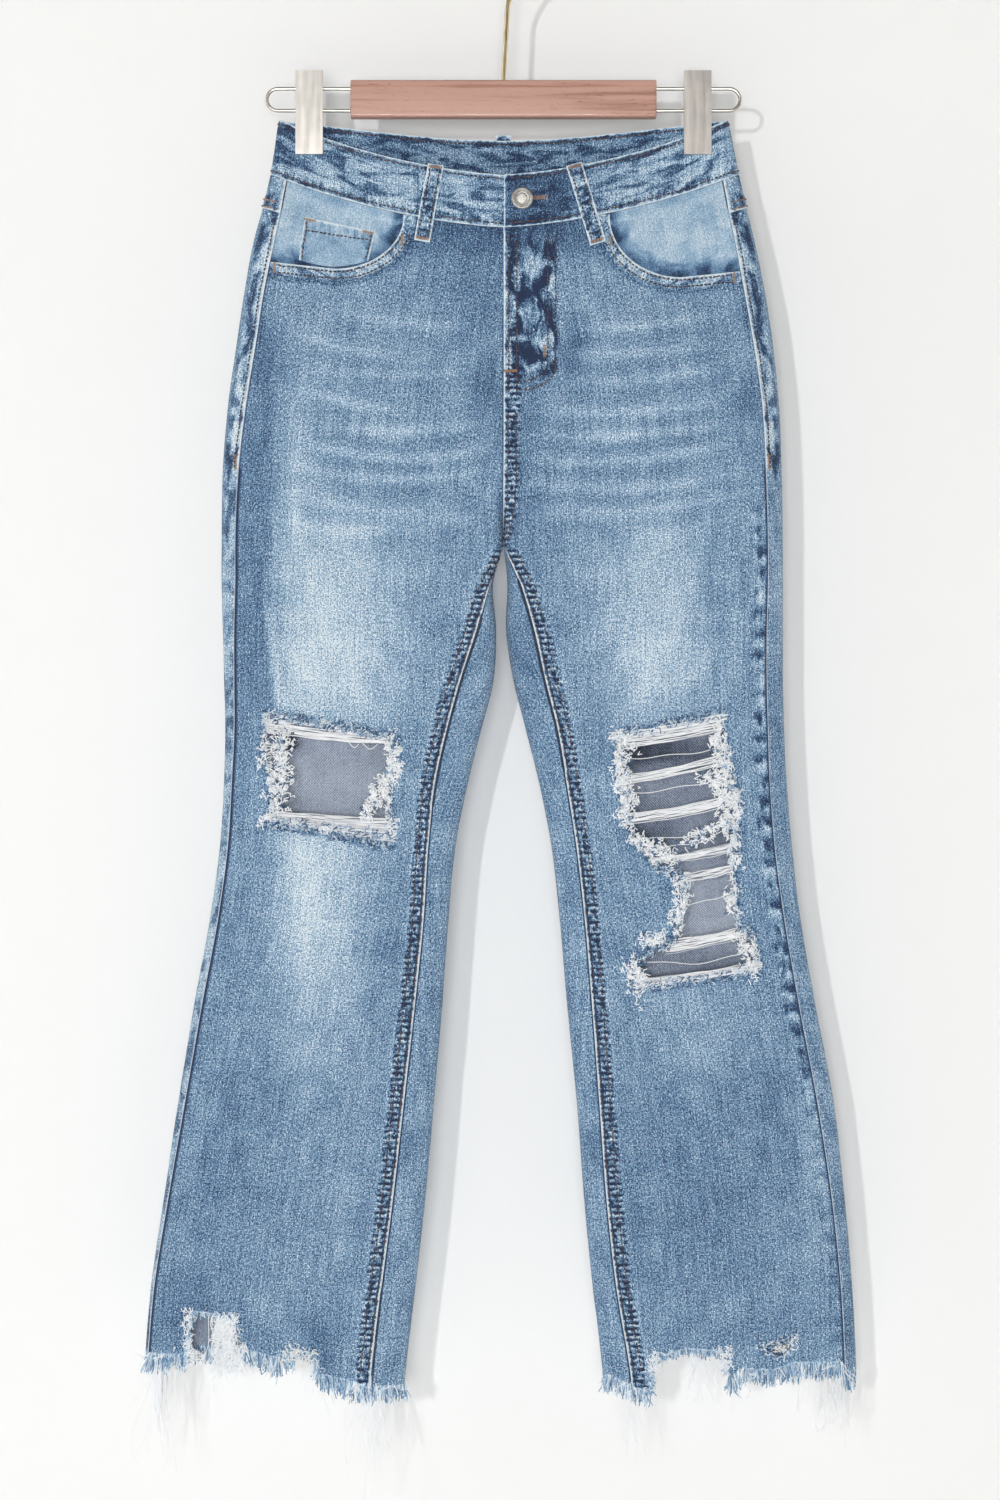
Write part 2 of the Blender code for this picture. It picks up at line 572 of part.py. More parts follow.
def build_front(side, red):
    q, drop = settle(side, FRONT, panel_drops(side, FRONT_ROWS, WAIST_SEAM))
    made = material(f"denim_front_{side}", DENIM, 0.85)
    obj = wall(f"front_{side}", loop_point(side, q, drop), loop_point(side, q, drop, WALL), made)
    rips = [KNEE_RIP[side], mouth_outline(side)] + [HEM_RIP] * (side == "left")
    cuts = [on_cloth(side, shape) for shape in rips] + [below_hem(side, FRONT)]
    boolean(obj, as_cutter(prisms(f"rips_{side}", cuts, -CLEAR_OF_CLOTH, FRONT_ONLY, red)))


def build_back(side, red):
    q, drop = settle(side, BACK, panel_drops(side, BACK_ROWS, YOKE_SEAM))
    made = material(f"denim_back_{side}", DENIM, 0.85)
    obj = wall(f"back_{side}", loop_point(side, q, drop), loop_point(side, q, drop, WALL), made)
    ahead, behind = [below_hem(side, FRONT)], [below_hem(side, BACK)]
    boolean(obj, as_cutter(prisms(f"hem_front_{side}", ahead, -CLEAR_OF_CLOTH, FOLD_Y, red)))
    boolean(obj, as_cutter(prisms(f"hem_back_{side}", behind, FOLD_Y, CLEAR_OF_CLOTH, red)))


def build_yoke(side):
    """The shaped piece between the waistband and the back panel."""
    share = np.linspace(0, 1, 4)[:, None]

    def drop_of(w, facing):
        top = edge_drop(WAIST_SEAM, side, facing, w) + SEAM_GAP / 2
        foot = edge_drop(YOKE_SEAM, side, facing, w) - SEAM_GAP / 2
        return top + share * (foot - top)

    q, drop = settle(side, BACK, drop_of)
    made = material(f"denim_yoke_{side}", DENIM, 0.85)
    wall(f"yoke_{side}", loop_point(side, q, drop), loop_point(side, q, drop, WALL), made)


def build_waistband():
    """A strip from the underlap at the left front, round the right side and back, to the lap."""
    under = BAND_WALL + SEAM_GAP
    inner, outer = CLIP_W - CLIP_FLAT, CLIP_W + CLIP_FLAT
    across = np.concatenate([np.linspace(0.020, inner, 9), [CLIP_W, outer, BAND_LAST]])
    stations = [("left", FRONT, w, under) for w in BAND_UNDERLAP]
    stations += [("right", FRONT, BAND_STEP[0], under), ("right", FRONT, BAND_STEP[1], 0.0)]
    stations += [("right", FRONT, w, 0.0) for w in across]
    stations += [("right", 0, q, 0.0) for q in BAND_TURN]
    stations += [("right", BACK, w, 0.0) for w in across[::-1]]
    stations += [("right", BACK, 0.0, 0.0)]
    stations += [("left", BACK, w, 0.0) for w in across]
    stations += [("left", 0, q, 0.0) for q in BAND_TURN[::-1]]
    stations += [("left", FRONT, w, 0.0) for w in across[::-1]]
    stations += [("left", FRONT, w, 0.0) for w in BAND_LAP]
    grids = []
    for wall_inset in (0.0, BAND_WALL):
        grid = np.zeros((3, len(stations), 3))
        for j, (side, face, place, step) in enumerate(stations):
            for i, share in enumerate((0.0, 0.5, 1.0)):
                grid[i, j] = band_point(side, face, place, share, wall_inset + step - PROUD)
        grids.append(grid)
    return wall("waistband", *grids, material("denim_waistband", DENIM, 0.85))


def band_point(side, face, place, share, inset):
    """A point of the waistband, share of the way from its top edge to its seam."""
    on_fold = face == 0
    face = face or (FRONT if place < 0 else BACK)
    drop = WAIST_SEAM["side"]
    for _ in range(4):
        w = abs(loop_point(side, place, drop)[0]) if on_fold else place
        top = edge_drop(WAIST_TOP, side, face, w)
        foot = edge_drop(WAIST_SEAM, side, face, w) - SEAM_GAP / 2
        drop = float(top + share * (foot - top))
    if on_fold:
        return loop_point(side, place, drop, inset)
    return face_point(side, face, w, drop, inset)


def strip(name, points_at, rows, columns, made):
    """A wall on a grid of (along, across) shares; points_at gives its outer or inner face."""
    along = np.linspace(0, 1, rows)[:, None]
    across = np.linspace(0, 1, columns)[None, :]
    return wall(name, points_at(along, across, True), points_at(along, across, False), made)


def build_facing(side):
    """The piece that fills the pocket mouth, on the front panel's own grid, one layer under."""
    q, drop = settle(side, FRONT, panel_drops(side, FRONT_ROWS, WAIST_SEAM))
    q, drop = q[:FACING_ROWS, :FACING_COLUMNS], drop[:FACING_ROWS, :FACING_COLUMNS]
    inset = WALL + SEAM_GAP
    outer, inner = (loop_point(side, q, drop, i) for i in (inset, inset + FACING_THICKNESS))
    wall(f"pocket_facing_{side}", outer, inner, material(f"denim_facing_{side}", DENIM_PALE, 0.85))


def build_coin_pocket():
    """A patch on the right facing, between its four corners."""
    corners = np.array(COIN_POCKET)

    def points_at(along, across, outside):
        top = corners[0] + across[..., None] * (corners[1] - corners[0])
        foot = corners[3] + across[..., None] * (corners[2] - corners[3])
        w, drop = np.moveaxis(top + along[..., None] * (foot - top), -1, 0)
        lifted = WALL - SEAM_GAP  # clear of the facing's flat facets
        return face_point("right", FRONT, w, drop, lifted - FACING_THICKNESS * outside)

    strip("coin_pocket", points_at, 4, 6, material("denim_coin_pocket", DENIM_PALE, 0.85))


def build_back_pocket(side):
    """A five-sided patch that stands on the back panel, pointed at its foot."""
    size = BACK_POCKET

    def points_at(along, across, outside):
        u = 2 * across - 1
        half = size["top_half"] + along * (size["foot_half"] - size["top_half"])
        drop = size["top"] + along * (size["side"] + size["point"] * (1 - np.abs(u)))
        inset = -(SEAM_GAP + POCKET_THICKNESS) if outside else -SEAM_GAP
        return face_point(side, BACK, size["w"] + half * u + 0 * drop, drop, inset)

    strip(f"back_pocket_{side}", points_at, 5, 5, material(f"denim_pocket_{side}", DENIM, 0.85))


def build_belt_loop(name, x0, drop0, x1, drop1, face):
    """A strip tacked down at both ends, a little slack between them."""
    lean = (x1 - x0) / (drop1 - drop0)

    def points_at(along, across, outside):
        offset = LOOP_WIDTH * (across - 0.5)
        x = x0 + along * (x1 - x0) + offset
        drop = drop0 + along * (drop1 - drop0) - offset * lean
        lift = PROUD + SEAM_GAP + LOOP_SLACK * np.sin(np.pi * along) ** 0.5 + 0 * across
        return garment_point(face, x, drop, -(lift + LOOP_THICKNESS * outside))

    made = material(f"denim_loop_{name}", DENIM, 0.85)
    strip(f"belt_loop_{name}", points_at, 9, 3, made)


def normal_at(x, drop, inset):
    """The outward normal of the front, by differences between four points round this one."""
    step = 0.002
    across = [garment_point(FRONT, x + way * step, drop, inset) for way in (1, -1)]
    down = [garment_point(FRONT, x, drop + way * step, inset) for way in (1, -1)]
    normal = np.cross(across[0] - across[1], down[1] - down[0])
    return normal / np.linalg.norm(normal)


def lathe(name, profile, centre, axis, made, sides=24):
    """A turned solid: rings of the profile's radii, each at its distance along the axis."""
    axis = np.array(axis, float)
    first = np.cross(axis, (0.0, 0.0, 1.0) if abs(axis[2]) < 0.9 else (1.0, 0.0, 0.0))
    first /= np.linalg.norm(first)
    second = np.cross(axis, first)
    angle = np.linspace(0, 2 * np.pi, sides, endpoint=False)
    circle = np.cos(angle)[:, None] * first + np.sin(angle)[:, None] * second
    rings = [centre + axis * out + circle * radius for radius, out in profile]
    points = np.concatenate(rings)
    index = np.arange(len(points)).reshape(len(profile), sides)
    after = np.roll(index, -1, axis=1)
    faces = np.stack([index[:-1], after[:-1], after[1:], index[1:]], axis=-1).reshape(-1, 4)
    return add_object(name, points, [*faces.tolist(), list(index[0]), list(index[-1])], made)


def build_button(band, red):
    """A riveted jeans button whose neck passes through the lap and stands on the underlap."""
    x, drop = (np.array(value) for value in BUTTON_AT)
    normal = normal_at(x, drop, -PROUD)
    centre = garment_point(FRONT, x, drop, -PROUD) + normal * SEAM_GAP
    radius, dome = BUTTON_RADIUS, BUTTON_DOME
    profile = (
        (BUTTON_NECK, -BAND_WALL), (BUTTON_NECK, 0.0), (0.92 * radius, 0.0),
        (radius, 0.25 * dome), (radius, 0.5 * dome), (0.90 * radius, 0.8 * dome),
        (0.76 * radius, 0.8 * dome), (0.68 * radius, 0.6 * dome), (0.50 * radius, 0.6 * dome),
        (0.40 * radius, 0.85 * dome), (0.15 * radius, dome),
    )  # fmt: skip
    lathe("button", profile, centre, normal, material("button_metal", STEEL, 0.3, 1.0))
    wide = BUTTON_NECK + SEAM_GAP
    hole = ((wide, -(BAND_WALL + 1.5 * SEAM_GAP)), (wide, CLEAR_OF_CLOTH))
    boolean(band, as_cutter(lathe("buttonhole", hole, centre, normal, red, 16)))


def build_zip():
    """The closed fly zip behind the lap: its tape, bowed back clear of the slider."""

    def tape_at(along, across, outside):
        x = ZIP["x"] + ZIP["half_width"] * (2 * across - 1) + 0 * along
        drop = ZIP["top"] + along * (ZIP["foot"] - ZIP["top"]) + 0 * across
        bow = ZIP["bow"] * (1 - (2 * across - 1) ** 2)
        inset = WALL + SEAM_GAP + bow + (0 if outside else ZIP["tape"])
        return garment_point(FRONT, x, drop, inset)

    def slider_at(along, across, outside):
        drop = ZIP["top"] + ZIP["slider_top"] + along * ZIP["slider_length"] + 0 * across
        half = np.interp(along, ZIP["slider_at"], ZIP["slider_half"])
        x = ZIP["x"] + half * (2 * across - 1)
        inset = WALL + 2 * SEAM_GAP + (0 if outside else ZIP["slider"])
        return garment_point(FRONT, x, drop, inset)

    strip("zip_tape", tape_at, 7, 7, material("zip_tape", DENIM_DARK, 0.8))
    strip("zip_slider", slider_at, 9, 3, material("zip_metal", BRASS, 0.35, 1.0))


def build_knee_band(number, side, w0, top0, foot0, w1, top1, foot1):
    """Loose weft left across a rip: a thin band behind the rip's edges, sagging a little."""

    def points_at(along, across, outside):
        w = w0 + across * (w1 - w0) + 0 * along
        top, foot = top0 + across * (top1 - top0), foot0 + across * (foot1 - foot0)
        drop = top + along * (foot - top) + BAND_SAG * np.sin(np.pi * across)
        inset = WALL + 2 * SEAM_GAP + (0 if outside else BAND_THICKNESS)
        return face_point(side, FRONT, w, drop, inset)

    made = material(f"weft_{side}_{number}", THREAD, 0.9)
    strip(f"knee_band_{side}_{number}", points_at, 2, 6, made)


def hem_columns(side, face):
    """(q, drop) along a torn hem: at its own corners, evenly between them, and round its folds."""
    level = HEM[side, face][-1][1]
    low, high = sorted(float(q) for q in panel_span(side, face, np.array(level)))
    round_folds = [fold + turn for fold in (0, 3) for turn in FOLD_TURNS]
    fold_q = np.array([low, high] + [q for q in round_folds if low < q < high])
    fold_drop = np.full_like(fold_q, level)
    for _ in range(6):
        w = np.abs(loop_point(side, fold_q, fold_drop)[..., 0])
        fold_drop = hem_drop(side, facing_of(fold_q), w) + FRINGE_GAP
    q_parts, drop_parts = [fold_q], [fold_drop]
    for facing in (FRONT, BACK) if face == BACK else (FRONT,):
        corners = np.array([w for w, _ in HEM[side, facing]])
        steps = np.arange(corners[0], corners[-1], FRINGE_STEP)
        steps = steps[np.abs(steps[:, None] - corners).min(axis=1) > FRINGE_STEP / 3]
        w = np.concatenate([corners, steps])
        drop = hem_drop(side, facing, w) + FRINGE_GAP
        q = facing * q_of(side, w, drop)
        if face == BACK and facing == FRONT:
            q = np.where(q < -1, q + 6, q)
        off_folds = (np.abs(q) > 0.3) & (np.abs(q - 3) > 0.3)
        inside = (q > low + 0.01) & (q < high - 0.01) & off_folds
        q_parts.append(q[inside])
        drop_parts.append(drop[inside])
    q, drop = np.concatenate(q_parts), np.concatenate(drop_parts)
    order = np.argsort(q)
    return q[order], drop[order]


def build_fringe(side, face):
    """The reach of the frayed hem: a jagged skirt that hangs just below it, with long tufts."""
    name = "front" if face == FRONT else "back"
    q, drop = hem_columns(side, face)
    inset = (WALL - FRINGE_THICKNESS) / 2
    outer, inner = (loop_point(side, q, drop, i) for i in (inset, inset + FRINGE_THICKNESS))
    w = np.abs(outer[:, 0])
    length = FRINGE_LENGTH + FRINGE_WAVE * np.sin(w / 0.0043) * np.cos(w / 0.011)
    for row in TUFTS[side, face]:
        tuft = dict(zip(TUFT_COLUMNS, row))
        taper = tuft["length"] * (1 - np.abs(w - tuft["w"]) / tuft["half_width"])
        length = np.maximum(length, taper)
    down = np.stack([0 * length, 0 * length, -length], axis=-1)
    skirt = [np.stack([face_row, face_row + down]) for face_row in (outer, inner)]
    wall(f"fringe_{name}_{side}", *skirt, material(f"fray_{name}_{side}", THREAD, 0.9))


def box(name, low, high, made, bevel=0.0):
    """A block between two corners, with rounded edges."""
    mesh = bmesh.new()
    bmesh.ops.create_cube(mesh, size=1.0)
    low, high = np.array(low), np.array(high)
    for vertex in mesh.verts:
        vertex.co = low + (np.array(vertex.co) + 0.5) * (high - low)
    if bevel:
        bmesh.ops.bevel(
            mesh, geom=mesh.edges[:], offset=bevel, segments=2, profile=0.5, affect="EDGES"
        )
    data = bpy.data.meshes.new(name)
    mesh.to_mesh(data)
    mesh.free()
    data.materials.append(made)
    obj = bpy.data.objects.new(name, data)
    bpy.context.scene.collection.objects.link(obj)
    return obj


def wire(name, path, radius, made):
    """A round wire along a path, with filled ends."""
    curve = bpy.data.curves.new(name, "CURVE")
    curve.dimensions = "3D"
    curve.bevel_depth = radius
    curve.bevel_resolution = 2
    curve.use_fill_caps = True
    spline = curve.splines.new("POLY")
    spline.points.add(len(path) - 1)
    for point, place in zip(spline.points, path):
        point.co = (*place, 1.0)
    curve.materials.append(made)
    obj = bpy.data.objects.new(name, curve)
    bpy.context.scene.collection.objects.link(obj)
    return obj


def build_bar():
    half, deep = BAR["half_width"], BAR["half_depth"]
    low, high = (-half, -deep, -BAR["foot"]), (half, deep, -BAR["top"])
    box("hanger_bar", low, high, material("wood", WOOD, 0.45), BAR["bevel"])


def build_hanger_wire(side):
    """A loop of wire from one hole in the bar's end, round, and back to the other."""
    upper, lower = WIRE_DROPS
    bend = (lower - upper) / 2
    start, turn_at = BAR["half_width"] + SEAM_GAP, WIRE_END - WIRE_RADIUS - bend
    angle = np.linspace(np.pi / 2, -np.pi / 2, 13)
    x = np.concatenate([[start], turn_at + bend * np.cos(angle), [start]])
    z = np.concatenate([[-upper], -(upper + lower) / 2 + bend * np.sin(angle), [-lower]])
    path = [(SIDES[side] * a, 0.0, b) for a, b in zip(x, z)]
    wire(f"hanger_wire_{side}", path, WIRE_RADIUS, material(f"steel_wire_{side}", STEEL, 0.3, 1.0))


def build_clip(side, red):
    """Two folded plates whose flanges ride on the wires and whose jaws grip the waistband."""
    middle, half = SIDES[side] * CLIP_W, CLIP["half_width"]
    face, sheet, top, foot = CLIP["face"], CLIP["sheet"], CLIP["top"], CLIP["foot"]
    rides, grips = WIRE_RADIUS + SEAM_GAP, PINCHED + PROUD + SEAM_GAP
    for name, sign, width in (("front", FRONT, half), ("back", BACK, half - sheet)):
        profile = (
            (sign * face, -top), (sign * rides, -top), (sign * rides, -CLIP["relief"][0]),
            (sign * grips, -CLIP["relief"][1]), (sign * grips, -foot), (sign * face, -foot),
        )  # fmt: skip
        hollow = (
            (sign * (face - sheet), -top - sheet), (-sign * CLIP_OPEN, -top - sheet),
            (-sign * CLIP_OPEN, -foot + CLIP_JAW), (sign * (face - sheet), -foot + CLIP_JAW),
        )  # fmt: skip
        made = material(f"steel_clip_{name}_{side}", STEEL, 0.32, 1.0)
        ends, inner_ends = (
            (middle - reach, middle + reach) for reach in (width, width - sheet)
        )
        plate = prisms(f"clip_{name}_{side}", [profile], *ends, made, (1, 2))
        inside = prisms(f"hollow_{name}_{side}", [hollow], *inner_ends, red, (1, 2))
        boolean(plate, as_cutter(inside))
    pin = ((PIN_RADIUS, -half + sheet), (PIN_RADIUS, half - sheet))
    centre = np.array((middle, 0.0, -sum(WIRE_DROPS) / 2))
    made = material(f"steel_pin_{side}", STEEL, 0.3, 1.0)
    lathe(f"clip_pin_{side}", pin, centre, (1, 0, 0), made, 12)


def build_hook():
    """The stem leans a little and swings into a crook whose inner crown is the origin."""
    radius = HOOK_INNER + HOOK_RADIUS
    centre = np.array((0.0, -HOOK_INNER))
    turn = np.radians(np.linspace(HOOK_TURN[0], HOOK_TURN[1], 29))
    crook = centre + radius * np.stack([np.cos(turn), np.sin(turn)], axis=1)
    foot = np.array((0.0, -BAR["top"] + SEAM_GAP))
    neck = np.array(HOOK_NECK)
    heading = np.array((-np.sin(turn[0]), np.cos(turn[0])))
    lean = (neck - foot) / np.linalg.norm(neck - foot)
    t = np.linspace(0, 1, 9)[:-1, None]
    swings = HOOK_SWING
    guides = (neck, neck + swings[0] * lean, crook[0] - swings[1] * heading, crook[0])
    swing = (
        (1 - t) ** 3 * guides[0] + 3 * (1 - t) ** 2 * t * guides[1]
        + 3 * (1 - t) * t**2 * guides[2] + t**3 * guides[3]
    )  # fmt: skip
    path = np.concatenate([[foot], swing, crook])
    made = material("brass_hook", BRASS, 0.3, 1.0)
    wire("hanger_hook", [(x, 0.0, z) for x, z in path], HOOK_RADIUS, made)


for old in list(bpy.data.objects):
    bpy.data.objects.remove(old, do_unlink=True)
cutter_material = material("cutter", CUTTER_RED, 0.5)
for each_side in SIDES:
    build_front(each_side, cutter_material)
    build_back(each_side, cutter_material)
    build_yoke(each_side)
    build_facing(each_side)
    build_back_pocket(each_side)
    build_fringe(each_side, FRONT)
    build_fringe(each_side, BACK)
    build_hanger_wire(each_side)
    build_clip(each_side, cutter_material)
    side_bands = [row for row in KNEE_BANDS if row[0] == each_side]
    for band_number, band_row in enumerate(side_bands, 1):
        build_knee_band(band_number, **dict(zip(BAND_COLUMNS, band_row)))
build_coin_pocket()
for loop_row in BELT_LOOPS:
    build_belt_loop(**dict(zip(LOOP_COLUMNS, loop_row)))
build_button(build_waistband(), cutter_material)
build_zip()
build_bar()
build_hook()
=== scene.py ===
import bpy
import numpy as np
from mathutils import Matrix


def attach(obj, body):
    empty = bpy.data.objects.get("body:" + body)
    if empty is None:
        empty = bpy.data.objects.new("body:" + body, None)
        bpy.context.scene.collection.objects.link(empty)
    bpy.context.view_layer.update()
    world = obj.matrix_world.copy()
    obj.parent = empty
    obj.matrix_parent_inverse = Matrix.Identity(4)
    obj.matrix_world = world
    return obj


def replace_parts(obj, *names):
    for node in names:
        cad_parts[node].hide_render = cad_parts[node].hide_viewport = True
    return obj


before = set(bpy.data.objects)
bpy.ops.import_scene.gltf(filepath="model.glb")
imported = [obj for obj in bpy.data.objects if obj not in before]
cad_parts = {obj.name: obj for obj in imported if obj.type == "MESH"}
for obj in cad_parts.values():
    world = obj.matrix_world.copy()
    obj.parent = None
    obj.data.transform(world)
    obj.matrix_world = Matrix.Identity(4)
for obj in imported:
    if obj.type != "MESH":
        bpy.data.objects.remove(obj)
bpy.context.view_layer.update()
print("stage: packed model loaded")

front, back = -1.0, 1.0  # the sign of Y
faces = {front: "front", back: "back"}
sides = {"right": -1.0, "left": 1.0}  # the wearer's side, and the sign of X
rng = np.random.default_rng(11)

body = dict(
    wall=0.0014,  # denim, one layer
    bandWall=0.0025,  # waistband, folded double
    seamGap=0.0003,
    proud=0.0003,  # the waistband stands out from the panels
    hip=0.345,
    crotch=0.492,
    clipW=0.156,
    clipFlat=0.013,
    pinched=0.0028,
    sideLoop=0.0022,
    bow={front: 0.0195, back: 0.0115},  # how far the waist bows between the clips
    grid=0.0028,  # spacing of the cloth's points
)
wall, gap, crotch = body["wall"], body["seamGap"], body["crotch"]

# drop: half outline at the outer and inner fold, and at the outseam and inseam
outlineRows = {
    "right": (
        (150, 181, 0, 172, 0), (190, 187, 0, 173, 0), (220, 194, 0, 178, 0), (250, 202, 0, 184, 0),
        (290, 209, 0, 192, 0), (330, 215, 0, 198, 0), (380, 222, 0, 206, 0), (430, 226, 0, 212, 0),
        (492, 227, 0, 215, 0), (520, 227, 8, 215, 10), (560, 226, 6, 216, 21), (600, 225, 8, 216, 34),
        (640, 224, 18, 216, 45), (680, 225, 28, 218, 54), (730, 228, 38, 221, 60),
        (790, 236, 44, 229, 64), (860, 249, 49, 242, 71), (940, 262, 56, 256, 80),
        (1020, 274, 63, 270, 89), (1090, 284, 71, 281, 98), (1150, 289, 78, 286, 105),
        (1180, 291, 81, 288, 108),
    ),
    "left": (
        (150, 181, 0, 174, 0), (190, 189, 0, 175, 0), (220, 196, 0, 180, 0), (250, 203, 0, 186, 0),
        (290, 211, 0, 193, 0), (330, 217, 0, 200, 0), (380, 222, 0, 207, 0), (430, 224, 0, 210, 0),
        (492, 225, 0, 212, 0), (520, 225, 3, 212, 12), (560, 225, 2, 211, 24), (600, 225, 8, 211, 33),
        (640, 226, 18, 212, 43), (680, 228, 28, 213, 50), (730, 232, 38, 217, 58),
        (790, 239, 45, 225, 65), (860, 251, 51, 237, 71), (940, 266, 59, 252, 77),
        (1020, 275, 65, 264, 83), (1090, 281, 72, 271, 91), (1150, 284, 79, 274, 101),
        (1180, 285, 81, 275, 105),
    ),
}
# drop: depth of the front and back, how far in from each fold the cloth becomes flat, how deep
# the groove at the rise is, and how much the clips' pinch still shapes it
sectionRows = (
    (140, 14, 13, 9, 40, 0, 1000), (180, 14, 13, 10, 40, 0, 1000), (205, 14, 14, 14, 40, 0, 860),
    (240, 15, 14, 18, 40, 0, 550), (290, 15, 14, 22, 40, 0, 240), (350, 15, 14, 25, 36, 0, 0),
    (425, 15, 14, 27, 14, 0, 0), (440, 15, 14, 28, 10, 350, 0), (460, 15, 14, 28, 8, 680, 0),
    (480, 14, 14, 28, 7, 920, 0), (492, 14, 14, 28, 7, 1000, 0), (520, 14, 14, 29, 9, 1000, 0),
    (560, 14, 14, 30, 12, 1000, 0), (640, 13, 13, 30, 20, 1000, 0), (730, 12, 12, 30, 26, 1000, 0),
    (900, 11, 12, 30, 28, 1000, 0), (1200, 11, 11, 26, 26, 1000, 0),
)
# soft folds: w and drop at each end, half width, height
foldRows = {
    ("right", front): (
        (135, 300, 85, 420, 22, 2), (186, 540, 180, 640, 15, 2), (80, 600, 150, 560, 20, -1.5),
        (240, 900, 215, 1020, 20, 2),
    ),
    ("left", front): (
        (140, 300, 95, 430, 22, 2), (60, 560, 130, 640, 20, -2), (255, 980, 235, 1080, 18, 2.5),
    ),
    ("right", back): (
        (60, 520, 150, 560, 20, 3), (110, 720, 210, 700, 20, 2.5),
    ),
    ("left", back): (
        (60, 525, 160, 580, 22, 3), (100, 710, 215, 735, 20, 2.5),
    ),
}
# edges that cross the garment: drop at the side fold, the front's and the back's middle
waistTop = dict(side=0.149, front=0.1968, back=0.1630, power=1.6)
waistSeam = dict(side=0.193, front=0.2384, back=0.2050, power=1.6)
yokeSeam = dict(side=0.220, front=0.2920, back=0.2740, power=1.0)


def metres(rows):
    return np.array(rows) / 1000


def named(rows, names):
    # a table's columns by name
    return dict(zip(names.split(), metres(rows).T))


outlines = {side: named(outlineRows[side], "drop outer inner outseam inseam") for side in sides}
sections = named(sectionRows, "drop front back outerReach innerReach groove pinch")


def column(table, name, drop, first=0.0):
    # a column at these drops, from a first drop on, by cubic Hermite:
    # (2t^3 - 3t^2 + 1)a + (t^3 - 2t^2 + t)a' + (3t^2 - 2t^3)b + (t^3 - t^2)b'
    kept = table["drop"] >= first
    places, values = table["drop"][kept], table[name][kept]
    slopes = np.gradient(values, places)
    drop = np.clip(drop, places[0], places[-1])
    i = np.clip(np.searchsorted(places, drop) - 1, 0, len(places) - 2)
    step = places[i + 1] - places[i]
    t = (drop - places[i]) / step
    return (
        (2 * t**3 - 3 * t**2 + 1) * values[i] + (t**3 - 2 * t**2 + t) * step * slopes[i]
        + (3 * t**2 - 2 * t**3) * values[i + 1] + (t**3 - t**2) * step * slopes[i + 1]
    )


def section(name, drop):
    return column(sections, name, drop)


def outline(side, name, drop):
    # a half width; the inside edges start at the fork, half a seam from the middle above it
    if name in ("outer", "outseam"):
        return column(outlines[side], name, drop)
    below = np.maximum(column(outlines[side], name, drop, crotch), gap / 2)
    return np.where(np.asarray(drop) > crotch, below, gap / 2)


def foldsOf(side, drop):
    # half widths of the outer and inner fold, and how far in from each the cloth is flat
    widths = [outline(side, name, drop) for name in ("outer", "inner")]
    return *widths, section("outerReach", drop), section("innerReach", drop)


def bell(value, half, power=2):
    # exp(-(value / half)^power)
    return np.exp(-((value / half) ** power))


def ridge(rows, w, drop):
    # sum of height x exp(-(across / halfWidth)^2) x sin(pi along) over the rows
    total = np.zeros(np.broadcast(w, drop).shape)
    for w0, drop0, w1, drop1, halfWidth, height in metres(rows):
        length = np.hypot(w1 - w0, drop1 - drop0)
        along = ((w - w0) * (w1 - w0) + (drop - drop0) * (drop1 - drop0)) / length**2
        across = ((w - w0) * (drop1 - drop0) - (drop - drop0) * (w1 - w0)) / length
        total = total + height * np.sin(np.pi * np.clip(along, 0, 1)) * bell(across, halfWidth)
    return total


def flatDepth(face, w, drop):
    # plain depth mixed with pinched + bow x sin(pi/2 inside)^1.4 by the pinch's share
    plain = section(faces[face], drop)
    clear = body["clipW"] - body["clipFlat"]
    inside = np.clip((clear - w) / clear, 0, 1)
    outside = np.clip((w - body["clipW"] - body["clipFlat"]) / 0.010, 0, 1)
    bow = body["bow"][face] * np.sin(np.pi / 2 * inside) ** 1.4
    pinched = body["pinched"] + bow + body["sideLoop"] * outside
    return plain + (pinched - plain) * np.clip(section("pinch", drop), 0, 1)


def facingOf(q):
    # the face on which a q lies
    return np.where((q < 0) | (q > 3), front, back)


def loopPoint(side, q, drop, inset=0.0):
    # q runs round the section: -3 front inner edge, -2..-1 flat front, 0 outer fold, 1..2 flat
    # back, 3 inner edge, 3..6 the front again. Each fold is a quarter turn,
    # width share 1 - cos(pi/2 t), depth x sqrt(1 - (1 - share)^2)
    q, drop = np.broadcast_arrays(np.asarray(q, float), np.asarray(drop, float))
    facing = facingOf(q)
    p = np.where(q > 3, 6 - q, np.abs(q))
    groove = np.where(drop >= crotch, 1.0, np.clip(section("groove", drop), 0, 1))
    innerIn = inset * groove
    outer, inner, outerReach, innerReach = foldsOf(side, drop)
    outerShare, innerShare = (1 - np.cos(np.pi / 2 * np.clip(part, 0, 1)) for part in (p, 3 - p))
    w = (outer - outerReach) + (p - 1) * ((inner + innerReach) - (outer - outerReach))
    w = np.where(p < 1, outer - inset - (outerReach - inset) * outerShare, w)
    w = np.where(p > 2, inner + innerIn + (innerReach - innerIn) * innerShare, w)
    rounding = np.sqrt(np.clip(1 - (1 - outerShare) ** 2, 0, 1))
    rounding = rounding * np.sqrt(np.clip(1 - (groove * (1 - innerShare)) ** 2, 0, 1))
    depth, fold = (
        np.where(facing == front, *found)
        for found in (
            [flatDepth(face, w, drop) for face in faces],
            [ridge(foldRows[side, face], w, drop) for face in faces],
        )
    )
    y = facing * (depth - inset + fold * rounding) * rounding
    return np.stack([sides[side] * w, y, -drop], axis=-1)


def widthAt(side, q, drop):
    return np.abs(loopPoint(side, q, drop)[..., 0])


